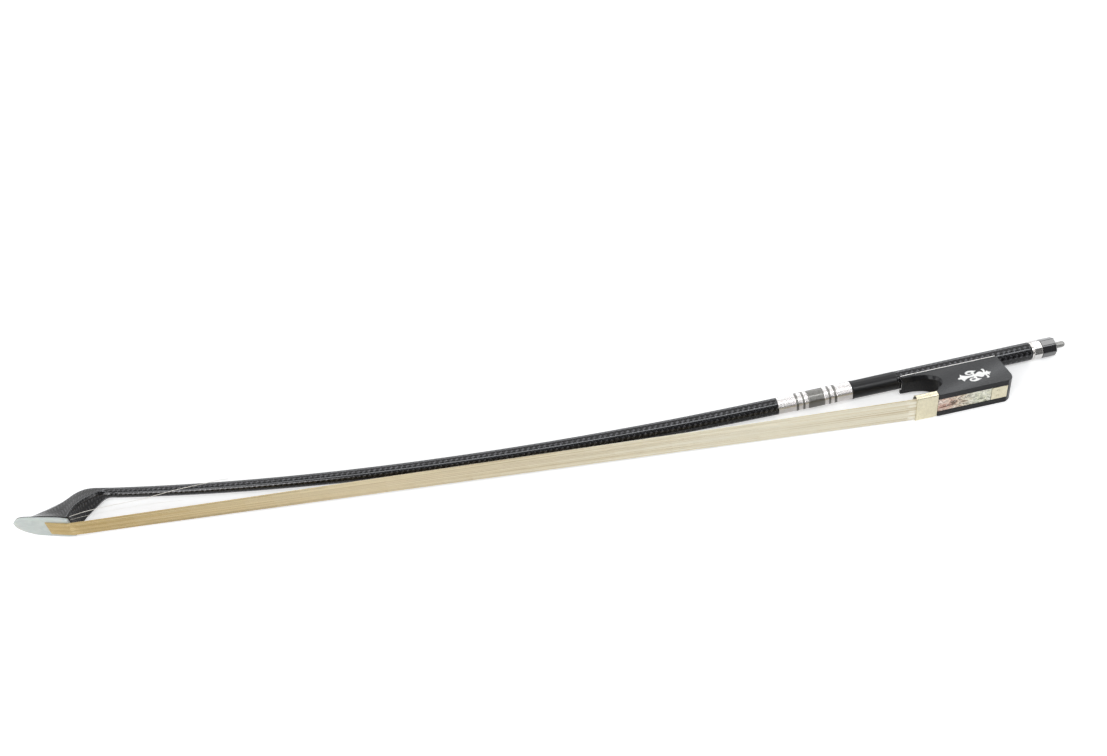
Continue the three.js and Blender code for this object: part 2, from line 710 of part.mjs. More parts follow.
function slideBase() {
  const low = -frogUnderside + pearlThickness + sleeveGap;
  return prismSolid(slideOutline(low, slideBaseTop, slideWidth / 2, slideWidth / 2 + dovetail - sleeveGap),
    slideFront, slideBack, alongX);
}

const pearlSlide = () => prismSolid(
  rectangle(-frogUnderside, -frogUnderside + pearlThickness, -slideWidth / 2, slideWidth / 2),
  slideFront, slideBack, alongX);

// Heel plate and its two pins, side by side
const heelPinX = heelPlateFront + heelPlateLength * 0.41;
const heelPinSides = [slideWidth * 0.23, -slideWidth * 0.23];
const heelPinTop = frogUnderside - heelPlateThickness - pinLength;

function heelPlate() {
  let plate = prismSolid(
    rectangle(-frogUnderside, -frogUnderside + heelPlateThickness, -slideWidth / 2, slideWidth / 2),
    heelPlateFront, heelPlateBack, alongX);
  heelPinSides.forEach((z) => {
    plate = plate.subtract(
      holeDown(heelPinX, pinDiameter + 2 * sleeveGap, heelPinTop, frogUnderside + overrun, z));
  });
  return plate;
}

// Cheek inlay: a lily in outline, as shares of its length from the crown and of its height
const stemShares = [
  [0, 0], [0.015, 0.05], [0.085, 0.09], [0.134, 0.333], [0.17, 0.21], [0.237, 0.14], [0.3, 0.1],
  [0.357, 0.08], [0.455, 0.075], [0.53, 0.1], [0.594, 0.16], [0.64, 0.235], [0.69, 0.25],
  [0.731, 0.22], [0.777, 0.11], [0.81, 0.09], [0.87, 0.13], [0.913, 0.206], [0.93, 0.075], [1, 0],
];
const petalShares = [
  [0.47, 0.05], [0.462, 0.15], [0.4, 0.15], [0.335, 0.17], [0.295, 0.23], [0.285, 0.31], [0.305, 0.4],
  [0.355, 0.47], [0.423, 0.5], [0.5, 0.47], [0.56, 0.425], [0.633, 0.385], [0.575, 0.33], [0.53, 0.26],
  [0.522, 0.06],
];
const petalEyeShares = [[0.34, 0.285], [0.375, 0.225], [0.44, 0.22], [0.482, 0.28], [0.44, 0.355], [0.375, 0.355]];
const curlShares = [
  [0.775, 0.06], [0.79, 0.14], [0.802, 0.23], [0.803, 0.31], [0.785, 0.36], [0.785, 0.4], [0.81, 0.43],
  [0.845, 0.42], [0.862, 0.35], [0.862, 0.25], [0.845, 0.15], [0.83, 0.06],
];

// Moves each side of a closed outline outwards by a distance.
function grown(points, distance) {
  const count = points.length;
  const area = points.reduce((sum, [a, b], i) => {
    const [c, d] = points[(i + 1) % count];
    return sum + a * d - b * c;
  }, 0);
  const sense = Math.sign(area);
  return points.map(([a, b], i) => {
    const [pa, pb] = points[(i + count - 1) % count];
    const [na, nb] = points[(i + 1) % count];
    const first = new THREE.Vector2(a - pa, b - pb).normalize();
    const second = new THREE.Vector2(na - a, nb - b).normalize();
    const out = new THREE.Vector2(first.y + second.y, -first.x - second.x).multiplyScalar(sense).normalize();
    const lean = Math.max(out.x * first.y * sense - out.y * first.x * sense, 0.5);
    return [a + (out.x * distance) / lean, b + (out.y * distance) / lean];
  });
}

// The inlay as a solid in its own plane, standing on z = 0 and facing down into the cheek.
function lily(grow, depth) {
  const place = ([u, v]) => [u * inlayLength, v * inlayHeight];
  const flip = ([a, b]) => [a, -b];
  const stem = [...stemShares, ...stemShares.slice(1, -1).reverse().map(flip)].map(place);
  const parts = [stem];
  [petalShares, curlShares].forEach((shares) => {
    const petal = shares.map(place);
    parts.push(petal, petal.map(flip).reverse());
  });
  const eye = petalEyeShares.map(place);
  let flower = parts.map((points) => prismSolid(grown(points, grow), -depth, grow, alongZ))
    .reduce((all, one) => all.add(one));
  [eye, eye.map(flip).reverse()].forEach((points) => {
    flower = flower.subtract(prismSolid(grown(points, -grow), -depth - overrun, overrun, alongZ));
  });
  return flower;
}

const inlayFront = -frogHeel - frogHeight * 0.394 - inlayLength;
const inlayMiddle = -frogTop - frogHeight * 0.566;

// Carries the inlay onto a cheek, flush with its leaning face.
function onCheek(solid, side) {
  const down = new THREE.Vector3(0, -1, side * cheekLean).normalize();
  const out = new THREE.Vector3(0, side * cheekLean, 1).normalize();
  out.z *= side;
  out.y = cheekLean * Math.abs(out.z);
  out.normalize();
  const geometry = geometryOf(solid);
  geometry.applyMatrix4(new THREE.Matrix4().makeBasis(xAxis, down.negate(), out));
  geometry.translate(inlayFront, inlayMiddle, side * cheekHalf(inlayMiddle));
  return mergedFacingOut(geometry);
}

// Frog body, cut by everything that it holds
function tongue() {
  const section = ferruleSection(ferruleWall + seatGap);
  const above = prismSolid(
    rectangle(tongueLow, archTop + overrun, -ferruleWidth, ferruleWidth),
    ferruleFront - overrun, ferruleBack + overrun, alongX);
  return prismSolid(section, ferruleFront + seatGap, ferruleBack + overrun, alongX).intersect(above);
}

// Cuts away the corner of a cheek so that it runs into the ferrule's arch.
function shoulderCut(side) {
  const front = ferruleBack + seatGap - sleeveGap;
  const back = frogFront + recessDepth;
  const outer = ferruleWidth / 2 + overrun;
  const corner = [
    new THREE.Vector3(front, archTop + overrun, side * outer),
    new THREE.Vector3(front, archSpring, side * outer),
    new THREE.Vector3(front, archSpring, side * (cheekHalf(archSpring) + seatGap)),
    new THREE.Vector3(front, archTop + overrun, side * ferruleWidth * 0.2),
  ];
  const apex = new THREE.Vector3(back, archTop + overrun, side * (cheekHalf(archTop) + overrun));
  return solidOf(loft([corner, corner.map((p) => apex.clone().lerp(p, 0.02))]));
}

// Cuts the cheek's edge off at a slant along the nose and the recess, less and less towards the ferrule.
function recessCut(side) {
  const path = [[frogFront - overrun, noseLow], ...recessPath()].map(([x, y]) => new THREE.Vector3(x, y, 0));
  const last = path.length - 1;
  return solidOf(loft(path.map((point, i) => {
    const along = path[Math.min(i + 1, last)].clone().sub(path[Math.max(i - 1, 0)]).normalize();
    const open = new THREE.Vector3(along.y, -along.x, 0);
    const chamfer = noseChamfer * (1 - 0.85 * (i / last));
    const wide = cheekHalf(point.y);
    return [
      point.clone().addScaledVector(open, overrun).setZ(side * (wide - chamfer - overrun)),
      point.clone().addScaledVector(open, overrun).setZ(side * (wide + overrun)),
      point.clone().addScaledVector(open, -chamfer - overrun).setZ(side * (wide + overrun)),
    ];
  })));
}

function frogBody() {
  const top = -frogTop + overrun;
  const low = -frogUnderside - overrun;
  const lean = [[top, -cheekHalf(top)], [low, -cheekHalf(low)], [low, cheekHalf(low)], [top, cheekHalf(top)]];
  let body = prismSolid(frogOutline(), -ferruleWidth, ferruleWidth, alongZ)
    .intersect(prismSolid(lean, frogFront - overrun, -frogHeel + overrun, alongX));
  [-1, 1].forEach((side) => {
    body = body.subtract(shoulderCut(side)).subtract(recessCut(side));
  });
  body = body.add(tongue())
    .subtract(prismSolid(octagon(2 * saddleRadius), frogFront - overrun, -frogHeel + overrun, alongX))
    .subtract(slideGroove())
    .subtract(solidOf(ribbon(frogHairPath(), seatGap)))
    .subtract(prismSolid(rectangle(-mortiseWidth / 2, mortiseWidth / 2, frogMortiseFront, frogMortiseBack),
      -frogUnderside + pearlThickness, frogMortiseTop, alongY))
    .subtract(prismSolid(rectangle(-frogUnderside - overrun, -frogUnderside + heelPlateThickness + seatGap,
      -slideWidth / 2 - seatGap, slideWidth / 2 + seatGap), heelPlateFront - seatGap,
    heelPlateBack + seatGap, alongX))
    .subtract(holeDown(-eyeletDistance, shankHole, 0, handleFlats / 2 + eyeletShankLength + seatGap));
  pinPlaces.forEach((x) => {
    body = body.subtract(holeDown(x, pinDiameter + 2 * seatGap, 0, liningInner + liningPinLength + seatGap));
  });
  heelPinSides.forEach((z) => {
    body = body.subtract(holeDown(heelPinX, pinDiameter + 2 * seatGap, heelPinTop - seatGap, frogUnderside, z));
  });
  [-1, 1].forEach((side) => {
    body = body.subtract(solidOf(onCheek(lily(sleeveGap, inlayThickness + seatGap), side)));
  });
  return body;
}

// Plugs: the hair folds round them
function headPlug() {
  const hairSide = -mortiseLength / 2 + 2 * seatGap + hairThickness;
  return mortiseBlock(hairSide, mortiseLength / 2 - seatGap, seatGap, headMortiseDepth * 0.52,
    mortiseWidth - 2 * seatGap);
}

function frogPlug() {
  const hairSide = frogMortiseBack - 2 * seatGap - hairThickness;
  const low = frogHairMiddle + hairThickness / 2 + seatGap;
  const outline = [
    [frogMortiseFront + seatGap, low], [hairSide - hairBend, low], [hairSide, low + hairBend],
    [hairSide, low + (frogMortiseTop - low) * 0.42], [frogMortiseFront + seatGap, low + (frogMortiseTop - low) * 0.42],
  ];
  return prismSolid(outline, -mortiseHairWidth / 2, mortiseHairWidth / 2, alongZ);
}

const knotRadius = 1.7;
const headKnotPlace = mortisePoint(0, headMortiseDepth - knotRadius - seatGap);
const frogKnotPlace = new THREE.Vector3(
  (frogMortiseFront + frogMortiseBack) / 2, frogMortiseTop - knotRadius - seatGap, 0);

// A thin wedge between the hair and the tongue, thicker at its front.
function spreadWedge() {
  const front = ferruleFront + 2 * seatGap;
  const back = gripEnd - 4 * seatGap;
  const outline = [
    [front, wedgeLow], [back, wedgeLow], [back, wedgeLow + wedgeThickness * 0.6],
    [front, wedgeLow + wedgeThickness],
  ];
  return prismSolid(outline, -ferruleHairWidth / 2, ferruleHairWidth / 2, alongZ);
}

// Button and screw, which turn together
const ringStart = runGap;
const ringEnd = ringStart + ringLength;
const spigotDiameter = buttonFlats * 0.62;
const screwBore = screwThread + 2 * seatGap;

function buttonRing() {
  const lip = prismSolid(circle(ringLipDiameter / 2, [0, 0], 2 * roundSides), ringStart, ringStart + ringLip, alongX);
  const waist = prismSolid(circle(buttonFlats / 2 - ringGroove), ringStart, ringEnd, alongX);
  const collar = prismSolid(octagon(buttonFlats, buttonTurn), ringStart + ringLip + ringGroove, ringEnd, alongX);
  return lip.add(waist).add(collar)
    .subtract(prismSolid(circle(spigotDiameter / 2 + seatGap), ringStart + ringLip, ringEnd + overrun, alongX))
    .subtract(prismSolid(circle(screwBore / 2), -overrun, ringEnd, alongX));
}

function buttonCore() {
  const start = ringEnd + seatGap;
  return prismSolid(octagon(buttonFlats, buttonTurn), start, buttonLength, alongX)
    .add(prismSolid(circle(spigotDiameter / 2), ringStart + ringLip + seatGap, start + seatGap, alongX))
    .subtract(prismSolid(circle(screwBore / 2), -overrun, buttonLength + overrun, alongX));
}

function screw() {
  const root = screwThread / 2 - screwPitch * 0.35;
  const profile = [[-screwReach, 0], [-screwReach, screwShank / 2 - screwPitch / 2],
    [-screwReach + screwPitch, screwShank / 2], [-threadStart - threadLength - screwPitch, screwShank / 2]];
  const turns = Math.floor(threadLength / screwPitch);
  for (let i = 0; i < turns; i += 1) {
    const x = -threadStart - threadLength + i * screwPitch;
    profile.push([x, root], [x + screwPitch / 2, screwThread / 2]);
  }
  profile.push([-threadStart, screwShank / 2]);
  const nippleStart = buttonLength + seatGap;
  profile.push([nippleStart, screwShank / 2], [nippleStart, nippleDiameter / 2]);
  const domeSteps = 3;
  const dome = nippleDiameter * 0.25;
  for (let i = 0; i <= domeSteps; i += 1) {
    const angle = (Math.PI / 2) * (i / domeSteps);
    profile.push([
      buttonLength + nippleLength - dome + dome * Math.sin(angle), (nippleDiameter / 2) * Math.cos(angle),
    ]);
  }
  profile[profile.length - 1][1] = 0;
  return turned(profile, roundSides / 2);
}

addPiece('stick', stick(), 'carbon');
addPiece('handle_core', handleCore(), 'hardwood');
addPiece('head_plate', solidOf(plateLayer(0, plateThickness, 1)).subtract(mortiseCut()), 'plateWhite');
addPiece('head_liner', solidOf(plateLayer(linerDepth, linerDepth + linerThickness, 0.97, 0.8))
  .subtract(mortiseCut()), 'linerBlack');
addPiece('head_hair_plug', headPlug(), 'hardwood');
addPiece('head_hair_knot', hairKnot(headKnotPlace, knotRadius, mortiseHairWidth * 0.9), 'hair');
addPiece('hair_ribbon', ribbon(spanPath()), 'hair');
addPiece('winding', winding(), 'silver');
bandShares.forEach((share, i) => addPiece(`winding_band_${i + 1}`, windingBand(share), 'bandDark'));
addPiece('thumb_leather', sleeve(leatherFront, leatherBack, sleeveGap, sleeveGap + leatherWall), 'leather');
addPiece('frog_body', frogBody(), 'ebony');
addPiece('underslide', underslide(), 'nickelSilver');
pinPlaces.forEach((x, i) => addPiece(
  `underslide_pin_${i + 1}`, holeDown(x, pinDiameter, liningInner, liningInner + liningPinLength), 'steel'));
addPiece('eyelet', eyelet(), 'brass');
addPiece('ferrule', ferrule(), 'nickelSilver');
addPiece('spread_wedge', spreadWedge(), 'hardwood');
addPiece('slide_base', slideBase(), 'ebony');
addPiece('pearl_slide', pearlSlide(), 'pearl');
addPiece('frog_hair_run', ribbon(frogHairPath()), 'hair');
addPiece('frog_hair_plug', frogPlug(), 'hardwood');
addPiece('frog_hair_knot', hairKnot(frogKnotPlace, knotRadius, mortiseHairWidth * 0.9), 'hair');
addPiece('heel_plate', heelPlate(), 'nickelSilver');
heelPinSides.forEach((z, i) => addPiece(
  `heel_plate_pin_${i + 1}`, holeDown(heelPinX, pinDiameter, heelPinTop, frogUnderside, z), 'steel'));
addPiece('cheek_inlay_upper', onCheek(lily(0, inlayThickness), 1), 'inlayWhite');
addPiece('cheek_inlay_lower', onCheek(lily(0, inlayThickness), -1), 'inlayWhite');
addPiece('button_ring', buttonRing(), 'silver');
addPiece('button_core', buttonCore(), 'ebony');
addPiece('screw', screw(), 'steel');

const plateRestShare = 0.18; // where the face plate's lower corner touches, along its run

// Lays the bow on its side: it rests on the head plate's corner, the ferrule and the handle's butt.
function layDown() {
  const head = plateOffset(plateRestShare, plateThickness).setZ(-plateHalfWidth(plateRestShare));
  const frog = new THREE.Vector3(ferruleFront, archSpring, -ferruleWidth / 2);
  const butt = new THREE.Vector3(0, (handleFlats / 2) * octagonShare, -handleFlats / 2);
  const normal = butt.clone().sub(frog).cross(head.clone().sub(frog)).normalize();
  bow.quaternion.setFromUnitVectors(normal, zAxis);
  bow.updateMatrixWorld(true);
  const box = new THREE.Box3().setFromObject(bow, true);
  const middle = box.getCenter(new THREE.Vector3());
  bow.position.set(-middle.x, -middle.y, -box.min.z);
}
layDown();

export default bow;
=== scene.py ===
import json
import bmesh
import bpy
import numpy as np
from mathutils import Matrix, Vector


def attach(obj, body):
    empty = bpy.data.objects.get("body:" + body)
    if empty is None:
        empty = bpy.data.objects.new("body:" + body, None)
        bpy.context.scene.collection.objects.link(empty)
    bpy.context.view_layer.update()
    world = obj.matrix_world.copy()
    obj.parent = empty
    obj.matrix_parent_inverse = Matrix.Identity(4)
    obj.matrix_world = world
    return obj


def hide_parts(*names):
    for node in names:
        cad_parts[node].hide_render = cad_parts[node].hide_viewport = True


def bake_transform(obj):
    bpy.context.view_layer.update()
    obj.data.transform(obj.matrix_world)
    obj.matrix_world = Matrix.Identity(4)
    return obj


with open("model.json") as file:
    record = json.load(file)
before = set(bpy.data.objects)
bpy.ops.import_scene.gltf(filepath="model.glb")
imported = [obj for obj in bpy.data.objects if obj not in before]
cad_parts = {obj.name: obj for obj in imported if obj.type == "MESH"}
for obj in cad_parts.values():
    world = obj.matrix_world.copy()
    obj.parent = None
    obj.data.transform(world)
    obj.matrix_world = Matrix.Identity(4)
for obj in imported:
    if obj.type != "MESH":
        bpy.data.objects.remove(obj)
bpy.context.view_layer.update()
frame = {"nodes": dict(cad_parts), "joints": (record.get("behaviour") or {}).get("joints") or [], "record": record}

print("bow loaded:", len(frame["nodes"]), "solids")


# The bow's own frame: origin on the handle's axis at its butt, X to the button, Y to the stick, Z up.
# All sizes below are in millimetres in that frame.
def unit(vector):
    vector = np.asarray(vector, float)
    return vector / np.linalg.norm(vector, axis=-1, keepdims=True)


joints = {j["name"]: j for j in frame["joints"]}
mounts = {m["name"]: m for m in frame["record"]["mounts"]}
origin = np.array(joints["screw_turn"]["pos_m"])
axisX = unit(joints["frog_slide"]["axis"])
axisY = np.array(mounts["handle_back_facet"]["axis"])
axisY = unit(axisY - axisX * (axisX @ axisY))
bowTurn = np.column_stack([axisX, axisY, np.cross(axisX, axisY)])


def toRow(points):
    # A point in millimetres, turned by the bow's axes and moved to its origin, in metres.
    return origin + (np.asarray(points, float) / 1000) @ bowTurn.T


# Meshes
def inScene(name, data):
    made = bpy.data.objects.new(name, data)
    bpy.context.scene.collection.objects.link(made)
    return made


def addMesh(name, verts, faces, uv):
    # Vertices in the bow's frame; uv is one pair per face corner, in the faces' order.
    mesh = bpy.data.meshes.new(name)
    mesh.from_pydata(toRow(verts).tolist(), [], faces)
    mesh.uv_layers.new(name="UVMap").data.foreach_set("uv", np.asarray(uv, np.float32).ravel())
    mesh.polygons.foreach_set("use_smooth", np.ones(len(mesh.polygons), bool))
    mesh.update()
    return inScene(name, mesh)


def gridFaces(rows, cols, closeRows=False):
    # Quads between neighbouring rows; the columns always close on themselves.
    i = np.arange(rows if closeRows else rows - 1)[:, None]
    k = np.arange(cols)[None, :]
    near, far = i * cols, ((i + 1) % rows) * cols
    k2 = (k + 1) % cols
    return np.stack([near + k, near + k2, far + k2, far + k], -1).reshape(-1, 4)


def facesOut(points, faces):
    # True where the closed mesh's volume, summed over its corners' triple products, is positive.
    a, b, c, d = (points[faces[:, n]] for n in range(4))
    return (a * (np.cross(b, c) + np.cross(c, d))).sum() > 0


def skin(name, points, along=None, closeRows=False):
    # A grid of points, rows along the piece and columns round it, closed by a fan over each end.
    # uv is the distance along in millimetres and the share of the way round.
    rows, cols = points.shape[:2]
    flat = points.reshape(-1, 3)
    middle = flat.mean(0)
    quads = gridFaces(rows, cols, closeRows)
    if not facesOut(flat - middle, quads):
        points = points[:, ::-1]
        flat = points.reshape(-1, 3)
    if along is None:
        step = np.linalg.norm(np.diff(points.mean(1), axis=0), axis=1)
        along = np.concatenate([[0], np.cumsum(step)])
    i, k = np.divmod(np.arange(len(quads)), cols)
    i2 = (i + 1) % rows
    far = np.where(i2 == 0, along[-1] + 1, along[i2])
    u = np.stack([along[i], along[i], far, far], -1)
    v = np.stack([k, k + 1, k + 1, k], -1) / cols
    uv = np.stack([u, v], -1).reshape(-1, 2)
    faces = quads.tolist()
    if not closeRows:
        flat = np.vstack([flat, points[0].mean(0), points[-1].mean(0)])
        k = np.arange(cols)
        k2 = (k + 1) % cols
        first = np.stack([np.full(cols, rows * cols), k2, k], -1)
        last = np.stack([np.full(cols, rows * cols + 1), (rows - 1) * cols + k, (rows - 1) * cols + k2], -1)
        faces += first.tolist() + last.tolist()
        share = np.stack([k + 0.5, k + 1, k], -1) / cols
        for end, order in ((along[0], share), (along[-1], share[:, [0, 2, 1]])):
            uv = np.vstack([uv, np.stack([np.full(order.shape, end), order], -1).reshape(-1, 2)])
    return addMesh(name, flat, faces, uv)


def creaseAngle(piece, degrees):
    # Edges sharper than the angle stay crisp.
    with bpy.context.temp_override(object=piece, active_object=piece, selected_editable_objects=[piece]):
        bpy.ops.object.shade_smooth_by_angle(angle=np.radians(degrees))


def dress(piece, material):
    piece.data.materials.clear()
    piece.data.materials.append(material)


def finishPiece(piece, body, material, slot, *nodes):
    dress(piece, material)
    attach(piece, body)
    if nodes:
        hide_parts(*nodes)
    return piece


def splinePoints(controls, perSpan):
    # A centripetal spline through the control rows, so many steps to each span.
    controls = np.asarray(controls, float)
    shape = controls.shape
    flat = controls.reshape(shape[0], -1)
    p = np.vstack([2 * flat[:1] - flat[1:2], flat, 2 * flat[-1:] - flat[-2:-1]])
    dt = np.maximum(((p[1:] - p[:-1]) ** 2).sum(1) ** 0.25, 1e-6)
    t0, t1, t2 = dt[:-2, None], dt[1:-1, None], dt[2:, None]
    a, b, c, d = p[:-3], p[1:-2], p[2:-1], p[3:]
    m1 = ((b - a) / t0 - (c - a) / (t0 + t1) + (c - b) / t1) * t1
    m2 = ((c - b) / t1 - (d - b) / (t1 + t2) + (d - c) / t2) * t1
    t = (np.arange(perSpan) / perSpan)[None, :, None]
    b, c, m1, m2 = (x[:, None, :] for x in (b, c, m1, m2))
    out = b + m1 * t + (-3 * b + 3 * c - 2 * m1 - m2) * t ** 2 + (2 * b - 2 * c + m1 + m2) * t ** 3
    return np.vstack([out.reshape(-1, flat.shape[1]), flat[-1:]]).reshape(-1, *shape[1:])


def between(values, place):
    # Linear interpolation of rows of values at fractional row numbers.
    values = np.asarray(values, float)
    row = np.clip(np.floor(place).astype(int), 0, len(values) - 2)
    mix = (place - row).reshape(-1, *[1] * (values.ndim - 1))
    return values[row] * (1 - mix) + values[row + 1] * mix


def anglesRound(count):
    return np.arange(count) * 2 * np.pi / count


def ease(t):
    t = np.clip(t, 0, 1)
    return t * t * (3 - 2 * t)


# Node helpers
def newMaterial(name):
    material = bpy.data.materials.new(name)
    material.use_nodes = True
    material.node_tree.nodes.clear()
    return material, material.node_tree


def addNode(tree, kind, inputs=None, **settings):
    made = tree.nodes.new(kind)
    for key, value in settings.items():
        setattr(made, key, value)
    for key, value in (inputs or {}).items():
        if isinstance(value, bpy.types.NodeSocket):
            tree.links.new(value, made.inputs[key])
        else:
            made.inputs[key].default_value = value
    return made


def sums(tree, operation, *values):
    return addNode(tree, "ShaderNodeMath", dict(enumerate(values)), operation=operation).outputs[0]


def plus(tree, first, second):
    return sums(tree, "ADD", first, second)


def minus(tree, first, second):
    return sums(tree, "SUBTRACT", first, second)


def times(tree, first, second):
    return sums(tree, "MULTIPLY", first, second)


def mixColour(tree, share, first, second):
    # The node's colour sockets are numbers 6 and 7.
    return addNode(tree, "ShaderNodeMix", {0: share, 6: first, 7: second}, data_type="RGBA").outputs[2]


def toned(tree, low, high, value, first, second, most=1):
    # From the first colour towards the second as the value goes from low to high.
    return mixColour(tree, stretch(tree, low, high, value, 0, most), first, second)


def xyz(tree, *values):
    return addNode(tree, "ShaderNodeCombineXYZ", dict(enumerate(values))).outputs[0]


def partsOf(tree, value):
    return addNode(tree, "ShaderNodeSeparateXYZ", {0: value}).outputs


def rgb(red, green, blue):
    return (red, green, blue, 1)


def noise(tree, vector, scale, detail=3, roughness=0.5, distortion=0):
    return addNode(tree, "ShaderNodeTexNoise", {
        "Vector": vector, "Scale": scale, "Detail": detail, "Roughness": roughness, "Distortion": distortion,
    }).outputs["Fac"]


def ramp(tree, value, *stops):
    made = addNode(tree, "ShaderNodeValToRGB", {"Fac": value})
    points = made.color_ramp.elements
    while len(points) < len(stops):
        points.new(0.5)
    for point, (place, colour) in zip(points, stops):
        point.position = place
        point.color = colour
    return made.outputs["Color"]


def stretch(tree, low, high, value, newLow=0, newHigh=1):
    return addNode(tree, "ShaderNodeMapRange", {
        "Value": value, "From Min": low, "From Max": high, "To Min": newLow, "To Max": newHigh,
    }).outputs[0]


def objectPlace(tree, scale=(1, 1, 1), turn=(0, 0, 0)):
    # Object coordinates in millimetres, stretched and turned.
    place = addNode(tree, "ShaderNodeTexCoord").outputs["Object"]
    return addNode(tree, "ShaderNodeMapping", {
        "Vector": place, "Scale": [1000 * s for s in scale], "Rotation": turn,
    }).outputs[0]


def alongAndRound(tree):
    # The piece's own UV map: millimetres along it, and the share of the way round.
    return partsOf(tree, addNode(tree, "ShaderNodeUVMap", uv_map="UVMap").outputs[0])[:2]


def bumped(tree, height, distance, strength=1.0, **more):
    return addNode(tree, "ShaderNodeBump", {
        "Height": height, "Distance": distance / 1000, "Strength": strength, **more,
    }).outputs[0]


def surface(tree, colour, **sockets):
    # A Principled shader into the output; its sockets go by short names.
    names = {
        "roughness": "Roughness", "metallic": "Metallic", "normal": "Normal", "sheen": "Sheen Weight",
        "specular": "Specular IOR Level", "scatter": "Subsurface Weight",
        "coat": "Coat Weight", "coatRoughness": "Coat Roughness", "coatIor": "Coat IOR",
    }
    inputs = {"Base Color": colour, **{names[key]: value for key, value in sockets.items()}}
    shader = addNode(tree, "ShaderNodeBsdfPrincipled", inputs)
    tree.links.new(shader.outputs[0], addNode(tree, "ShaderNodeOutputMaterial").inputs[0])


# Materials
def carbonBraid(name, cellLength, cellsRound, dark, light, sparkle=1.0):
    # Two sets of slanted strands: u/length + v*count and u/length - v*count. Where the two whole
    # numbers add up to an odd one the first strand lies on top, else the second, which is painted darker,
    # as though its fibres turned their sheen away. The colour is painted sheen: brightest on each strand's
    # crown and in glinting patches.
    material, tree = newMaterial(name)
    along, around = alongAndRound(tree)
    lengthwise = sums(tree, "DIVIDE", along, cellLength)
    a = plus(tree, lengthwise, times(tree, around, cellsRound))
    b = minus(tree, lengthwise, times(tree, around, cellsRound))
    whole = plus(tree, sums(tree, "FLOOR", a), sums(tree, "FLOOR", b))
    parity = sums(tree, "MODULO", plus(tree, whole, 1000), 2)
    top = sums(tree, "GREATER_THAN", parity, 0.5)
    crownA = sums(tree, "SINE", times(tree, sums(tree, "FRACT", a), np.pi))
    crownB = sums(tree, "SINE", times(tree, sums(tree, "FRACT", b), np.pi))
    crown = plus(tree, times(tree, top, crownA), times(tree, minus(tree, 1, top), crownB))
    grain = noise(tree, objectPlace(tree), 1.1, 4)
    fibre = noise(tree, xyz(tree, times(tree, a, 26), b, top), 1, 2)
    patches = times(tree, stretch(tree, 0.38, 0.66, grain, 0.3, 1.3 * sparkle),
                    stretch(tree, 0.3, 0.7, fibre, 0.5, 1.3))
    glint = times(tree, sums(tree, "POWER", crown, 2.0), patches)
    # Painted sheen: the strands' crowns and patches glint, and the second set is painted darker.
    paintedLight = times(tree, glint, stretch(tree, 0, 1, top, 0.2, 1.0))
    colour = mixColour(tree, paintedLight, dark, light)
    height = plus(tree, times(tree, crown, 0.7), times(tree, fibre, 0.3))
    surface(tree, colour, roughness=0.32, metallic=0.95, specular=0.1, normal=bumped(tree, height, 0.12, 0.8),
            coat=1.0, coatRoughness=0.05, coatIor=1.45)
    return material


cheekMiddle = 286, -36  # the dish's middle, in the object's own millimetres


def ebonyWood(name, polish, dish=0.0):
    # Polish 0 is satin and 1 is a high gloss. A dish hollows the cheeks a little by the bump: its height
    # rises with the square of the distance from the middle, measured down and a little back along the frog.
    material, tree = newMaterial(name)
    grain = noise(tree, objectPlace(tree, (0.05, 0.8, 0.8)), 2.2, 6, 0.6)
    pores = noise(tree, objectPlace(tree, (0.25, 4, 4)), 1.5, 3)
    colour = toned(tree, 0.35, 0.7, grain, rgb(0.002, 0.002, 0.003), rgb(0.007, 0.007, 0.009))
    normal = bumped(tree, pores, 0.012, 0.3)
    if dish:
        x, y = partsOf(tree, objectPlace(tree))[:2]
        down = minus(tree, times(tree, minus(tree, x, cheekMiddle[0]), 0.3), minus(tree, y, cheekMiddle[1]))
        normal = bumped(tree, times(tree, times(tree, down, down), dish), 1, Normal=normal)
    roughness = stretch(tree, 0.3, 0.7, pores, 0.24 - 0.14 * polish, 0.34 - 0.18 * polish)
    surface(tree, colour, roughness=roughness, specular=0.24 + 0.72 * polish, normal=normal,
            coat=0.3 + 0.7 * polish, coatRoughness=0.14 - 0.1 * polish, coatIor=1.5 + 0.3 * polish)
    return material


def facePlateWhite():
    material, tree = newMaterial("off-white face plate")
    cloud = noise(tree, objectPlace(tree, (0.3, 0.8, 0.8)), 0.5, 3)
    fine = noise(tree, objectPlace(tree), 6, 3)
    colour = toned(tree, 0.35, 0.65, cloud, rgb(0.53, 0.545, 0.515), rgb(0.6, 0.615, 0.58))
    surface(tree, colour, roughness=stretch(tree, 0.3, 0.7, fine, 0.34, 0.46), scatter=0.1, coat=0.15,
            coatRoughness=0.3, normal=bumped(tree, fine, 0.01, 0.3))
    return material


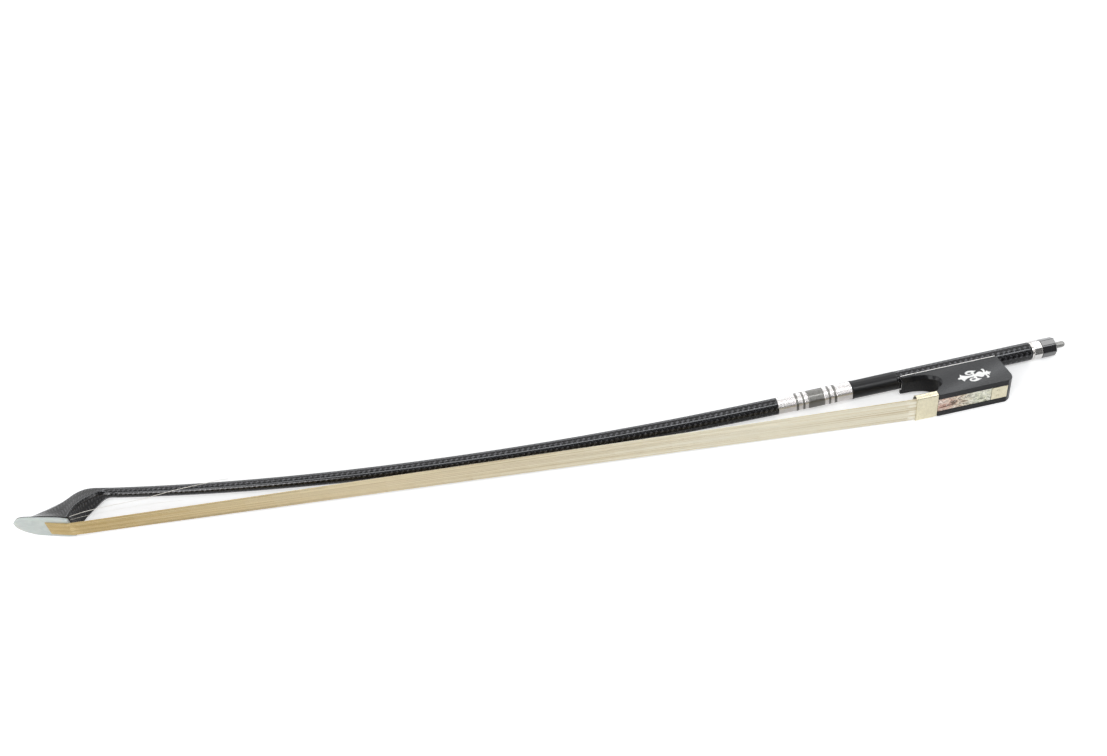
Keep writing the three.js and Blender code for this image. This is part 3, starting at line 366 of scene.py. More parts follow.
def horseHair(name):
    # Streaks along the hair: noise that runs twenty times faster across it than along it. The colour goes
    # from golden tan at the head to cream at the frog.
    material, tree = newMaterial(name)
    along, around = alongAndRound(tree)
    across = times(tree, around, 190)
    streak = noise(tree, xyz(tree, times(tree, along, 0.012), across), 1.1, 3)
    strand = noise(tree, xyz(tree, times(tree, along, 0.05), times(tree, across, 2.7), 4.0), 1.3, 2)
    tan = toned(tree, 0.3, 0.7, streak, rgb(0.46, 0.31, 0.1), rgb(0.68, 0.5, 0.2))
    cream = toned(tree, 0.3, 0.7, streak, rgb(0.84, 0.76, 0.57), rgb(0.95, 0.91, 0.77))
    run = stretch(tree, 40, 440, along)
    colour = mixColour(tree, run, tan, cream)
    pale = mixColour(tree, run, rgb(0.88, 0.75, 0.46), rgb(0.97, 0.94, 0.82))
    dim = mixColour(tree, run, rgb(0.27, 0.17, 0.05), rgb(0.6, 0.48, 0.27))
    locks = noise(tree, xyz(tree, times(tree, along, 0.004), times(tree, around, 26), 9.0), 1.0, 2)
    colour = toned(tree, 0.5, 0.62, locks, colour, dim, 0.75)
    colour = toned(tree, 0.5, 0.4, locks, colour, pale, 0.6)
    colour = toned(tree, 0.35, 0.7, strand, colour, pale, 0.3)
    surface(tree, colour, roughness=0.45, sheen=0.2, specular=0.35, normal=bumped(tree, strand, 0.04, 0.6))
    return material


def woundSilver(name, colour, groove, pitch=0.42, roughness=0.2, depth=0.05):
    # Turns of wrap: a rounded ridge for each pitch along the piece, with painted shade in the grooves.
    material, tree = newMaterial(name)
    along, around = alongAndRound(tree)
    wound = plus(tree, along, times(tree, around, pitch))
    turns = sums(tree, "FRACT", sums(tree, "DIVIDE", wound, pitch))
    ridge = sums(tree, "SINE", times(tree, turns, np.pi))
    fine = noise(tree, objectPlace(tree, (4, 0.4, 0.4)), 1.0, 2)
    # Painted shade: the colour runs towards the groove colour between the turns.
    paintedLight = times(tree, minus(tree, 1, sums(tree, "POWER", ridge, 0.5)), 0.7)
    base = mixColour(tree, paintedLight, colour, groove)
    surface(tree, base, metallic=1.0, roughness=stretch(tree, 0.3, 0.7, fine, roughness, roughness + 0.08),
            normal=bumped(tree, ridge, depth, 0.7))
    return material


def blackLeather():
    material, tree = newMaterial("black thumb leather")
    cells = addNode(tree, "ShaderNodeTexVoronoi", {"Vector": objectPlace(tree), "Scale": 2.4},
                    feature="DISTANCE_TO_EDGE").outputs[0]
    creases = noise(tree, objectPlace(tree, (0.4, 1, 1)), 1.6, 5, 0.6)
    colour = toned(tree, 0.35, 0.7, creases, rgb(0.0015, 0.0015, 0.002), rgb(0.005, 0.005, 0.0065))
    height = plus(tree, times(tree, sums(tree, "MINIMUM", cells, 0.12), 5), times(tree, creases, 0.6))
    surface(tree, colour, roughness=stretch(tree, 0.3, 0.7, creases, 0.3, 0.4), specular=0.42,
            normal=bumped(tree, height, 0.02, 0.4), coat=0.03, coatRoughness=0.3)
    return material


def polishedMetal(name, colour, second, roughness=0.2, brush=(0.2, 6, 6)):
    material, tree = newMaterial(name)
    lines = noise(tree, objectPlace(tree, brush), 1.5, 3)
    cloud = noise(tree, objectPlace(tree), 0.35, 3)
    base = toned(tree, 0.35, 0.65, cloud, colour, second)
    surface(tree, base, metallic=1.0, roughness=stretch(tree, 0.3, 0.7, lines, roughness, roughness + 0.14),
            normal=bumped(tree, lines, 0.006, 0.4))
    return material


def shellPearl(name, scale, tint, warmEnd=None):
    # Mother-of-pearl: noise bent by its own distortion and cut into bands of pink, brown, green and cream.
    # With an end named, the bands go from pink-brown there to grey-green at the other end.
    material, tree = newMaterial(name)
    swirl = noise(tree, objectPlace(tree, (0.6, 1, 1), (0.2, 0.3, 0.5)), 0.2 * scale, 3, 0.5, 1.6)
    veins = noise(tree, objectPlace(tree, (0.5, 1.1, 1.1), (0.1, 0.6, 0.9)), 0.4 * scale, 3, 0.55, 2.2)
    bands = 0.34, 0.43, 0.5, 0.57, 0.66
    warm = ramp(tree, swirl, *zip(bands, (rgb(0.16, 0.07, 0.05), rgb(0.62, 0.34, 0.26), rgb(0.85, 0.68, 0.56),
                                          rgb(0.4, 0.23, 0.18), rgb(0.92, 0.8, 0.72))))
    cool = ramp(tree, swirl, *zip(bands, (rgb(0.16, 0.17, 0.1), rgb(0.6, 0.61, 0.44), rgb(0.9, 0.88, 0.7),
                                          rgb(0.42, 0.44, 0.33), rgb(0.93, 0.92, 0.78))))
    if warmEnd is None:
        colour = mixColour(tree, 0.5, warm, cool)
    else:
        along = alongAndRound(tree)[0]
        colour = toned(tree, warmEnd, warmEnd + 22, along, warm, cool)
    colour = toned(tree, 0.55, 0.66, veins, colour, rgb(0.95, 0.93, 0.82), 0.7)
    colour = toned(tree, 0.42, 0.36, veins, colour, rgb(0.1, 0.07, 0.05), 0.8)
    colour = mixColour(tree, tint, colour, rgb(0.95, 0.95, 0.93))
    surface(tree, colour, roughness=0.24, coat=0.4, coatRoughness=0.06, normal=bumped(tree, veins, 0.02, 0.3))
    return material


def cloudedStuff(name, stretched, grain, span, first, second, bump, **sockets):
    # One stretched noise mixes two colours and lifts the surface, by the bump's height and strength.
    material, tree = newMaterial(name)
    cloud = noise(tree, objectPlace(tree, stretched), *grain)
    surface(tree, toned(tree, *span, cloud, first, second), normal=bumped(tree, cloud, *bump), **sockets)
    return material


carbonDark = rgb(0.0015, 0.0015, 0.002)
# Each braid's second colour is its painted sheen at the brightest.
shaftBraid = carbonBraid("braided carbon shaft", 3.7, 8, carbonDark, rgb(0.11, 0.11, 0.12))
headCloth = carbonBraid("woven carbon head", 2.1, 16, carbonDark, rgb(0.07, 0.07, 0.074), sparkle=1.4)
ebony = ebonyWood("satin ebony", 0.0, 0.01)
glossEbony = ebonyWood("polished ebony", 1.0)
plateWhite = facePlateWhite()
hairMaterial = horseHair("bow hair")
looseMaterial = cloudedStuff("loose hair", (0.2, 0.2, 0.2), (0.5, 3), (0.3, 0.7), rgb(0.74, 0.7, 0.62),
                             rgb(0.9, 0.88, 0.82), (0.01, 0.2), roughness=0.4, specular=0.4)
# Each wrap's second colour is the painted shade in its grooves.
silverWrap = woundSilver("silver winding", rgb(0.9, 0.87, 0.86), rgb(0.3, 0.27, 0.26))
darkThread = woundSilver("dark thread", rgb(0.26, 0.255, 0.24), rgb(0.03, 0.028, 0.025), 0.3, 0.26, 0.03)
leather = blackLeather()
nickelSilver = polishedMetal("pale nickel silver", rgb(0.88, 0.82, 0.62), rgb(0.8, 0.74, 0.55), 0.22)
liningSilver = polishedMetal("pale lining", rgb(0.92, 0.9, 0.88), rgb(0.84, 0.82, 0.8), 0.4, (0.02, 0.4, 0.4))
buttonSilver = polishedMetal("button silver", rgb(0.88, 0.86, 0.84), rgb(0.8, 0.78, 0.76), 0.14, (1, 1, 1))
steel = polishedMetal("turned steel", rgb(0.42, 0.41, 0.39), rgb(0.33, 0.33, 0.32), 0.4)
brass = polishedMetal("plain brass", rgb(0.72, 0.52, 0.24), rgb(0.6, 0.43, 0.2), 0.3)
abalone = shellPearl("abalone slide", 1.0, 0.0, 4)
whiteShell = shellPearl("white shell inlay", 0.8, 0.92)
maple = cloudedStuff("maple insert", (0.06, 0.9, 0.9), (1.6, 5, 0.6, 0.5), (0.3, 0.7), rgb(0.32, 0.19, 0.09),
                     rgb(0.5, 0.33, 0.18), (0.05, 0.5), roughness=0.62)
fibre = cloudedStuff("black liner fibre", (1, 1, 1), (4, 4), (0, 1), rgb(0.006, 0.006, 0.006),
                     rgb(0.02, 0.02, 0.02), (0.02, 0.4), roughness=0.6)
print("materials made")


# Stick
stickSize = dict(
    handleFlats=12.3, neckThickness=7.1, taperStart=78.5, straightLength=157.5, neckDistance=628.5,
    camberRise=55.8, bendShare=0.113, roundStart=247.5, roundEnd=557.5,
    wrapBack=91.7, wrapFront=173.0, wrapSeat=0.3, endTrim=0.35, cornerPower=12, sides=96,
)


def camberAt(x):
    # Height q2*t^2 + q4*t^4 of the stick's middle, and its slope, at a place along the handle's axis.
    s = stickSize
    span = s["neckDistance"] - s["straightLength"]
    t = np.clip(-x - s["straightLength"], 0, None) / span
    q = s["bendShare"]
    height = s["camberRise"] * ((1 - q) * t ** 2 + q * t ** 4)
    slope = -s["camberRise"] / span * (2 * (1 - q) * t + 4 * q * t ** 3)
    return height, slope


def octagonReach(angle, power):
    # An octagon's radius for an inner radius of 1: the inverse of the power mean of its four facet distances.
    facets = np.abs(np.cos(angle[..., None] - np.arange(4) * np.pi / 4)) ** power
    return facets.sum(-1) ** (-1 / power)


def stickGrid(x, extra=0.0, sides=stickSize["sides"], power=stickSize["cornerPower"]):
    # Sections square to the stick: octagons that soften to circles, at each place x.
    s = stickSize
    angle = anglesRound(sides)
    height, slope = camberAt(x)
    t = np.clip(-x - s["taperStart"], 0, None) / (s["neckDistance"] - s["taperStart"])
    radius = s["handleFlats"] / 2 + t * (s["neckThickness"] - s["handleFlats"]) / 2 + extra
    soft = ease((-x - s["roundStart"]) / (s["roundEnd"] - s["roundStart"]))[:, None]
    reach = radius[:, None] * (octagonReach(angle, power)[None, :] * (1 - soft) + soft)
    up = unit(np.stack([-slope, np.ones_like(x), np.zeros_like(x)], -1))
    middle = np.stack([x, height, np.zeros_like(x)], -1)
    out = up[:, None, :] * (reach * np.cos(angle))[..., None]
    out[..., 2] += reach * np.sin(angle)
    return middle[:, None, :] + out


headSize = dict(
    length=66.0, drop=26.6, width=18.0, plateThickness=1.9, plateCorner=0.45, plateTrim=0.35, faceDepth=2.65,
    plate=[
        (0.344, -1, 0.88), (0.433, -0.929, 0.99), (0.561, -0.823, 0.985), (0.682, -0.726, 0.955),
        (0.788, -0.632, 0.9), (0.871, -0.545, 0.78), (0.932, -0.485, 0.59), (0.974, -0.44, 0.28),
        (0.998, -0.368, 0.04),
    ],
    throat=[
        ((0.094, -0.107), (0.091, 0.192), (0.54, 0.3, 0.2, 0.41, 0.18, 0.75)),
        ((0.171, -0.25), (0.189, 0.256), (0.7, 0.5, 0.12, 0.46, 0.2, 0.8)),
        ((0.232, -0.378), (0.28, 0.259), (0.82, 0.66, 0.09, 0.5, 0.23, 0.83)),
        ((0.283, -0.518), (0.371, 0.169), (0.9, 0.78, 0.07, 0.53, 0.25, 0.84)),
        ((0.325, -0.7), (0.477, -0.034), (0.94, 0.87, 0.05, 0.55, 0.26, 0.84)),
    ],
    beak=[
        (0.03, (0.576, -0.139), (0.95, 0.92, 0.03, 0.56, 0.26, 0.82)),
        (0.125, (0.636, -0.199), (0.955, 0.93, 0.03, 0.56, 0.26, 0.8)),
        (0.25, (0.705, -0.263), (0.95, 0.925, 0.03, 0.55, 0.26, 0.77)),
        (0.36, (0.762, -0.316), (0.92, 0.895, 0.04, 0.53, 0.26, 0.73)),
        (0.45, (0.8, -0.354), (0.86, 0.835, 0.06, 0.5, 0.26, 0.68)),
        (0.54, (0.829, -0.382), (0.75, 0.72, 0.1, 0.4, 0.24, 0.6)),
        (0.62, (0.848, -0.408), (0.56, 0.53, 0.15, 0.28, 0.18, 0.6)),
    ],
)


def headPoint(shares):
    # Shares of the head's length and drop, counted from the neck.
    shares = np.asarray(shares, float)
    x = -stickSize["neckDistance"] - shares[..., 0] * headSize["length"]
    y = stickSize["camberRise"] + shares[..., 1] * headSize["drop"]
    return np.stack([x, y, np.zeros_like(x)], -1)


plateSteps = 40
plateRows = np.array(headSize["plate"])
plateEdge = np.column_stack([headPoint(plateRows[:, :2])[:, :2], plateRows[:, 2] * headSize["width"] / 2])
plateLine = splinePoints(plateEdge, plateSteps)
plateLast = (len(plateRows) - 1) * plateSteps


def plateAt(share):
    # Point, tangent, inward normal and half width of the face plate's hair side at shares of its run.
    place = np.atleast_1d(np.asarray(share, float)) * plateLast
    row = between(plateLine, place)
    ahead = between(plateLine, np.minimum(place + 0.5, plateLast))
    ahead = ahead - between(plateLine, np.maximum(place - 0.5, 0))
    tangent = unit(np.column_stack([ahead[:, :2], np.zeros(len(row))]))
    inward = np.column_stack([tangent[:, 1], -tangent[:, 0], np.zeros(len(row))])
    point = np.column_stack([row[:, :2], np.zeros(len(row))])
    return point, tangent, inward, row[:, 2]


def headRing(low, high, shape):
    # Sixteen points of a head section, from its lower end to its upper end and out to both sides.
    lowWidth, lowFlat, lowChamfer, highWidth, highFlat, highChamfer = shape
    keys = np.array([(1, 0), (1, highFlat), (highChamfer, highWidth),
                     (lowChamfer, lowWidth), (0, lowFlat), (0, 0)])
    side = between(keys, np.array([0, 1, 1.5, 2, 2.5, 3, 3.5, 4, 5]))
    other = side[1:-1][::-1] * (1, -1)
    ring = np.vstack([side, other])
    points = low + (high - low) * ring[:, :1]
    points[:, 2] = ring[:, 1] * headSize["width"] / 2
    return points


def upsampled(ring, per):
    # A closed ring with so many points to each side, its corners rounded by a short moving average.
    closed = np.vstack([ring, ring[:1]])
    fine = between(closed, np.arange(len(ring) * per) / per)
    for _ in range(3):
        fine = 0.5 * fine + 0.25 * (np.roll(fine, 1, 0) + np.roll(fine, -1, 0))
    return fine


def stickShell():
    # The grid of the shaft, thinner under the wraps, joined to the splined rings of the neck and the head.
    s, h = stickSize, headSize
    back, front, neckStart = s["wrapBack"], s["wrapFront"], s["neckDistance"]
    shaftX = -np.concatenate([
        [0, 0.12, 0.35], np.linspace(0.8, back - 2.2, 40), [back - 0.6, back - 0.3],
        np.linspace(back, front, 20), [front + 0.15, front + 0.45],
        np.linspace(front + 2.5, neckStart - 13, 180),
    ])
    wrapped = ease((-shaftX - back + 0.25) / 0.2) * ease((front + 0.15 + shaftX) / 0.15)
    shaft = stickGrid(shaftX, -s["wrapSeat"] * wrapped - s["endTrim"] * (1 - ease(-shaftX / 0.4)))
    rings = [headRing(headPoint(low), headPoint(high), shape) for low, high, shape in h["throat"]]
    for share, high, shape in h["beak"]:
        point, _, inward, _ = plateAt(share)
        rings.append(headRing((point + inward * h["faceDepth"])[0], headPoint(high), shape))
    neck = stickGrid(np.array([31, 19, 13, 6, 0]) - neckStart)
    controls = np.concatenate([neck, [upsampled(ring, s["sides"] // 16) for ring in rings]])
    fine = splinePoints(controls, 8)
    middle = fine[-1].mean(0)
    tip = middle + (fine[-1] - middle) * 0.6 + (middle - fine[-9].mean(0)) * 0.12
    points = np.concatenate([shaft[:-1], fine[16:], tip[None]])
    piece = skin("stickShell", points)
    x = points[:, :, 0].mean(1)
    rows = np.divmod(np.arange(len(piece.data.polygons)), s["sides"])[0]
    onHead = (rows < len(x) - 1) & (x[np.minimum(rows, len(x) - 1)] < -neckStart - 4)
    onHead |= rows > len(x)
    return piece, onHead


stick, onHead = stickShell()
finishPiece(stick, "stick", shaftBraid, "carbon_fibre", "stick")
stick.data.materials.append(headCloth)
stick.data.polygons.foreach_set("material_index", onHead.astype(np.int32))
print("stick made:", len(stick.data.polygons), "faces")


# Face plate
def roundedLoop(half, low, high, radius, flats=14, turns=5):
    # A rounded rectangle: four flats with arcs between, as [across, up] for each row.
    radius = np.minimum(radius, 0.45 * np.minimum(2 * half, high - low))[:, None]
    half, low, high = half[:, None], low[:, None], high[:, None]
    arcs = []
    for n, (sx, sy) in enumerate([(1, -1), (1, 1), (-1, 1), (-1, -1)]):
        angle = np.linspace(0, np.pi / 2, turns)[None, :] + (n - 1) * np.pi / 2
        across = sx * (half - radius) + radius * np.cos(angle)
        middle = high - radius if sy > 0 else low + radius
        arcs.append(np.stack([across, middle + radius * np.sin(angle)], -1))
    parts = []
    for arc, following in zip(arcs, arcs[1:] + arcs[:1]):
        start, step = arc[:, -1:], following[:, :1] - arc[:, -1:]
        parts += [arc, start + step * np.linspace(0, 1, flats)[1:-1, None]]
    return np.concatenate(parts, 1)


def facePlate():
    h = headSize
    share = np.concatenate([[0.0, 0.0015], np.linspace(0.006, 0.97, 90), [0.985, 0.995, 1.0]])
    point, _, inward, half = plateAt(share)
    trim = h["plateTrim"] * (1 - ease(share / 0.006))
    loop = roundedLoop(half - trim, trim, h["plateThickness"] - trim, h["plateCorner"])
    points = point[:, None, :] + inward[:, None, :] * loop[..., 1:]
    points[..., 2] = loop[..., 0]
    return skin("facePlate", points)


finishPiece(facePlate(), "stick", plateWhite, "face_plate", "head_plate")
print("face plate made")


# Hair
hairSize = dict(
    thickness=0.9, lie=0.7, headWidth=11.2, ferruleWidth=18.0, mortiseShare=0.217, mortiseLength=11.2,
    rootDepth=1.0, bend=0.8, bedShare=0.135, ferruleFront=-90.0, ferruleLevel=-29.62, grip=9.3, columns=150,
    ripple=0.035, spanRow=17, strands=170, strandRadius=0.07, looseRadii=(0.17, 0.08),
    loose=[
        [(-657.5, 31.0, 4.6), (-654.4, 32.6, 6.4), (-645.6, 34.9, 6.6), (-636.1, 35.8, 6.6),
         (-620.5, 36.1, 6.6), (-602.3, 35.7, 6.6), (-590.9, 36.6, 6.6), (-579.6, 37.5, 6.6),
         (-568.2, 37.7, 6.6), (-558.6, 38.2, 6.2), (-550.5, 39.9, 4.8), (-544.5, 42.2, 2.0)],
        [(-657.2, 30.8, 4.2), (-652.0, 31.6, 5.4), (-645.0, 32.2, 5.6), (-637.0, 32.4, 5.6),
         (-629.0, 32.4, 5.6), (-621.0, 32.2, 5.6), (-613.0, 31.9, 5.5), (-605.0, 31.4, 5.4),
         (-597.0, 30.8, 5.3), (-589.0, 30.0, 5.2), (-581.0, 28.9, 5.1), (-573.0, 27.6, 5.0)],
    ],
    ends=[(-647.5, 29.0, 0.0), (-90.5, -29.6, 0.0)],
)


def hairLine():
    # Middle of the hair: out of the face plate, back along it, then, from row spanRow, straight into
    # the ferrule. The width grows along the straight span.
    h = hairSize
    middle, tip, inward, _ = plateAt(h["mortiseShare"])
    middle, tip, inward = middle[0], tip[0], inward[0]
    wall = h["mortiseLength"] / 2 - h["lie"]
    fold = np.linspace(0, np.pi / 2, 7)[:, None]
    rise = h["rootDepth"] - h["lie"] - h["bend"] * np.sin(fold)
    start = middle + tip * (wall - h["bend"] * (1 - np.cos(fold))) + inward * rise
    point, _, bedIn, _ = plateAt(np.linspace(h["bedShare"], 0, 10))
    lying = point - bedIn * h["lie"]
    end = np.array([h["ferruleFront"], h["ferruleLevel"], 0])
    run = np.linspace(0, 1, 90)[1:]
    span = lying[-1] + (end - lying[-1]) * run[:, None]
    grip = end + np.array([1, 0, 0]) * np.linspace(0, h["grip"], 5)[1:, None]
    share = np.concatenate([np.zeros(h["spanRow"]), run, np.ones(len(grip))])
    width = h["headWidth"] + (h["ferruleWidth"] - h["headWidth"]) * share
    return np.vstack([start, lying, span, grip]), width


def hairRibbon():
    # A flat loop across the hair, its faces rippled by sums of sines so that strands show.
    h = hairSize
    line, width = hairLine()
    up = np.cross([0, 0, 1.0], unit(np.gradient(line, axis=0)))
    columns = h["columns"]
    s = np.concatenate([np.linspace(-1, 1, columns), np.linspace(1, -1, columns)])
    side = np.repeat([1.0, -1.0], columns)
    edge = np.sqrt(np.clip(1 - np.abs(s) ** 16, 0, 1)) * 0.8 + 0.2 * (np.abs(s) < 0.999)
    row = np.arange(len(line))[:, None]
    waves = np.sin(s * 141 + 0.05 * row) + np.sin(s * 97 + 2 - 0.07 * row) + np.sin(s * 233 + 1)
    lift = (side * (h["thickness"] / 2 - 0.06) + waves * h["ripple"]) * edge
    points = line[:, None, :] + up[:, None, :] * lift[..., None]
    points[..., 2] += width[:, None] / 2 * s * (1 - 0.006 * np.cos(0.21 * row))
    return skin("hairRibbon", points)


def tubes(name, lines, radius, sides=4):
    # Thin tubes along many lines at once: a small ring square to the line at each point.
    count, steps = lines.shape[:2]
    tangent = unit(np.gradient(lines, axis=1))
    up = unit(np.cross([0, 0, 1.0], tangent))
    side = np.cross(tangent, up)
    angle = anglesRound(sides)
    ring = up[..., None, :] * np.cos(angle)[:, None] + side[..., None, :] * np.sin(angle)[:, None]
    points = lines[..., None, :] + ring * np.broadcast_to(radius, (count, steps))[..., None, None]
    quads = gridFaces(steps, sides)[:, ::-1]
    block = steps * sides
    starts = (np.arange(count) * block)[:, None, None]
    faces = (quads[None] + starts).reshape(-1, 4)
    k = np.arange(sides)
    ends = np.stack([k, k + block - sides])
    capFaces = (np.stack([ends[0], ends[1][::-1]])[None] + starts).reshape(-1, sides)
    along = np.linalg.norm(np.diff(lines, axis=1), axis=2).cumsum(1)
    along = np.concatenate([np.zeros((count, 1)), along], 1)
    i, k = np.divmod(np.arange(len(quads)), sides)
    u = np.stack([along[:, i], along[:, i + 1], along[:, i + 1], along[:, i]], -1)
    lane = np.broadcast_to(np.linspace(0, 1, count)[:, None, None], u.shape)
    uv = np.stack([u, lane], -1).reshape(-1, 2)
    capAlong = np.repeat(along[:, [0, -1], None], sides, 2)
    capUv = np.stack([capAlong, np.broadcast_to(lane[:, :1, :1], capAlong.shape)], -1).reshape(-1, 2)
    return addMesh(name, points.reshape(-1, 3), faces.tolist() + capFaces.tolist(), np.vstack([uv, capUv]))


def hairStrands():
    # Single hairs on both faces of the ribbon, each at its own place across it, drifting a little.
    h = hairSize
    line, width = hairLine()
    first, last = h["spanRow"], len(line) - 3
    picks = np.r_[3:first:2, first:last:3, last]
    line, width = line[picks], width[picks]
    rng = np.random.default_rng(7)
    count = h["strands"]
    place = np.linspace(-0.985, 0.985, count) + rng.normal(0, 0.006, count)
    side = np.where(rng.random(count) < 0.6, -1.0, 1.0)
    up = np.cross([0, 0, 1.0], unit(np.gradient(line, axis=0)))
    run = np.linspace(0, 1, len(line))
    slow, quick = rng.normal(0, 0.012, (count, 1)), rng.normal(0, 0.006, (count, 1))
    drift = slow * np.sin(np.pi * run) + quick * np.sin(3 * np.pi * run)
    proud = h["thickness"] / 2 - 0.02 + np.abs(rng.normal(0, 0.035, (count, 1))) * np.sin(np.pi * run) ** 0.5
    lines = line[None] + up[None] * (side[:, None] * proud)[..., None]
    lines[..., 2] += (place[:, None] + drift) * width[None] / 2
    return tubes("hairStrands", lines, h["strandRadius"])


def looseHair():
    # A broken hair that has come out of the ribbon near the head: it arches back over the throat, and its
    # free end lies over the stick. The second, finer one has sprung up beside it.
    lines = np.stack([splinePoints(row, 8) for row in hairSize["loose"]])
    return tubes("looseHair", lines, np.array(hairSize["looseRadii"])[:, None], sides=6)


for make, material in ((hairRibbon, hairMaterial), (hairStrands, hairMaterial), (looseHair, looseMaterial)):
    piece = make()
    dress(piece, material)
    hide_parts("hair_ribbon")
    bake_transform(piece)
print("hair made")


# Winding and leather
wrapSize = dict(
    front=173.0, leatherFront=122.8, leatherBack=91.7, wall=0.36, sleeveGap=0.02, sides=64, cornerPower=24,
    leatherWall=0.5, leatherFlare=0.28, leatherPower=7, silverDip=0.22, bandDip=0.05, bandInner=0.2,
    bands=[(0.239, 0.269), (0.326, 0.354), (0.402, 0.622), (0.674, 0.704), (0.75, 0.784)],
)


def wrapSkin(name, x, rise, inner, power):
    # Out over a wrap's outer skin and back along its inner one, so that the grid closes on itself.
    seat, sides = stickSize["wrapSeat"], wrapSize["sides"]
    out = stickGrid(x, rise - seat, sides, power)
    inside = stickGrid(x[::-1], np.full(len(x), inner - seat), sides, wrapSize["cornerPower"])
    return skin(name, np.concatenate([out, inside]), np.concatenate([x, x[::-1] + 0.01]), closeRows=True)


def sleeve(name, front, back, outer, inner, rows, lip, flare=0.0, power=wrapSize["cornerPower"]):
    # A wrap with a small lip at each end; a flare lifts its front by flare * exp(-(x/1.6)^2).
    x = np.concatenate([[front], np.linspace(front + lip, back - lip, rows), [back]])
    rise = np.where((x == front) | (x == back), outer - lip, outer)
    return wrapSkin(name, x, rise + flare * np.exp(-((x - front) / 1.6) ** 2), inner, power)


bandEnds = -wrapSize["front"] + np.array(wrapSize["bands"]) * (wrapSize["front"] - wrapSize["leatherFront"])


def silverWinding():
    # The silver runs under the dark bands, so it dips where each of them lies.
    w = wrapSize
    x = np.unique(np.concatenate([
        [-w["front"], -w["front"] + 0.12], np.linspace(-w["front"] + 0.3, -w["leatherFront"] - 0.3, 90),
        (bandEnds[:, :1] + [-0.02, 0.06]).ravel(), (bandEnds[:, 1:] + [-0.06, 0.02]).ravel(),
        [-w["leatherFront"] - 0.25],
    ]))
    dip = np.zeros_like(x)
    for a, b in bandEnds:
        dip[(x > a) & (x < b)] = w["silverDip"]
    rise = w["wall"] - dip - 0.1 * (x == x[0])
    return wrapSkin("silverWinding", x, rise, w["sleeveGap"], w["cornerPower"])


finishPiece(silverWinding(), "stick", silverWrap, "winding_silver", "winding")
for n, (a, b) in enumerate(bandEnds):
    band = sleeve(f"windingBand{n + 1}", a + 0.03, b - 0.03, wrapSize["wall"] + wrapSize["bandDip"],
                  wrapSize["bandInner"], 6, 0.08)
    finishPiece(band, "stick", darkThread, "winding_dark", f"winding_band_{n + 1}")
thumbLeather = sleeve(
    "thumbLeather", -wrapSize["leatherFront"] - 0.15, -wrapSize["leatherBack"], wrapSize["leatherWall"],
    wrapSize["sleeveGap"], 30, 0.25, wrapSize["leatherFlare"], wrapSize["leatherPower"])
finishPiece(thumbLeather, "stick", leather, "leather", "thumb_leather")
print("winding and leather made")


# Frog
softSize = dict(
    weldWithin=0.02, flatDegrees=0.6, sharpDegrees=25, segments=3,
    bodyBevel=0.3, liningBevel=0.06, heelBevel=0.12, lilyBevel=0.05,
)


def softCopy(node, name, width, body, material, slot, crisp=None):
    # The node's own solid: merged, its flat faces joined, its sharp edges bevelled and its shading weighted
    # by the faces' areas, so that flat cheeks stay flat. Edges inside the crisp box stay as they are.
    mesh = frame["nodes"][node].data.copy()
    editing = bmesh.new()
    editing.from_mesh(mesh)
    bmesh.ops.remove_doubles(editing, verts=editing.verts, dist=softSize["weldWithin"] / 1000)
    bmesh.ops.dissolve_limit(editing, angle_limit=np.radians(softSize["flatDegrees"]), verts=editing.verts,
                             edges=editing.edges)
    editing.edges.ensure_lookup_table()
    middles = np.array([(e.verts[0].co + e.verts[1].co) / 2 for e in editing.edges])
    place = (middles - origin) @ bowTurn * 1000
    keep = np.zeros(len(place), bool) if crisp is None else np.all((place > crisp[0]) & (place < crisp[1]), 1)
    weights = editing.edges.layers.float.new("bevel_weight_edge")
    for edge, kept in zip(editing.edges, keep):
        sharp = len(edge.link_faces) == 2 and edge.calc_face_angle(0) > np.radians(softSize["sharpDegrees"])
        edge[weights] = float(sharp and not kept)
        edge.smooth = not (sharp and kept)
    editing.to_mesh(mesh)
    editing.free()
    if "custom_normal" in mesh.attributes:
        mesh.attributes.remove(mesh.attributes["custom_normal"])
    mesh.polygons.foreach_set("use_smooth", np.ones(len(mesh.polygons), bool))
    piece = inScene(name, mesh)
    bevel = piece.modifiers.new("softEdges", "BEVEL")
    bevel.width = width / 1000
    bevel.segments = softSize["segments"]
    bevel.limit_method = "WEIGHT"
    bevel.use_clamp_overlap = False
    weighted = piece.modifiers.new("evenShading", "WEIGHTED_NORMAL")
    weighted.keep_sharp = True
    weighted.weight = 100
    finishPiece(piece, body, material, slot, node)


lilyBox = (-59.5, -26.5, -20), (-34.5, -12.5, 20)
everywhere = (-1000, -100, -100), (1000, 100, 100)
softCopy("frog_body", "frogBody", softSize["bodyBevel"], "frog", ebony, "ebony", lilyBox)
softCopy("underslide", "frogLining", softSize["liningBevel"], "frog", liningSilver, "nickel_silver")
softCopy("heel_plate", "heelPlate", softSize["heelBevel"], "frog", nickelSilver, "nickel_silver")

ferruleSize = dict(
    front=-90.0, length=14.3, width=20.0, flat=-31.07, height=7.5, wall=0.7, corner=1.3, springShare=0.45,
    points=96,
)


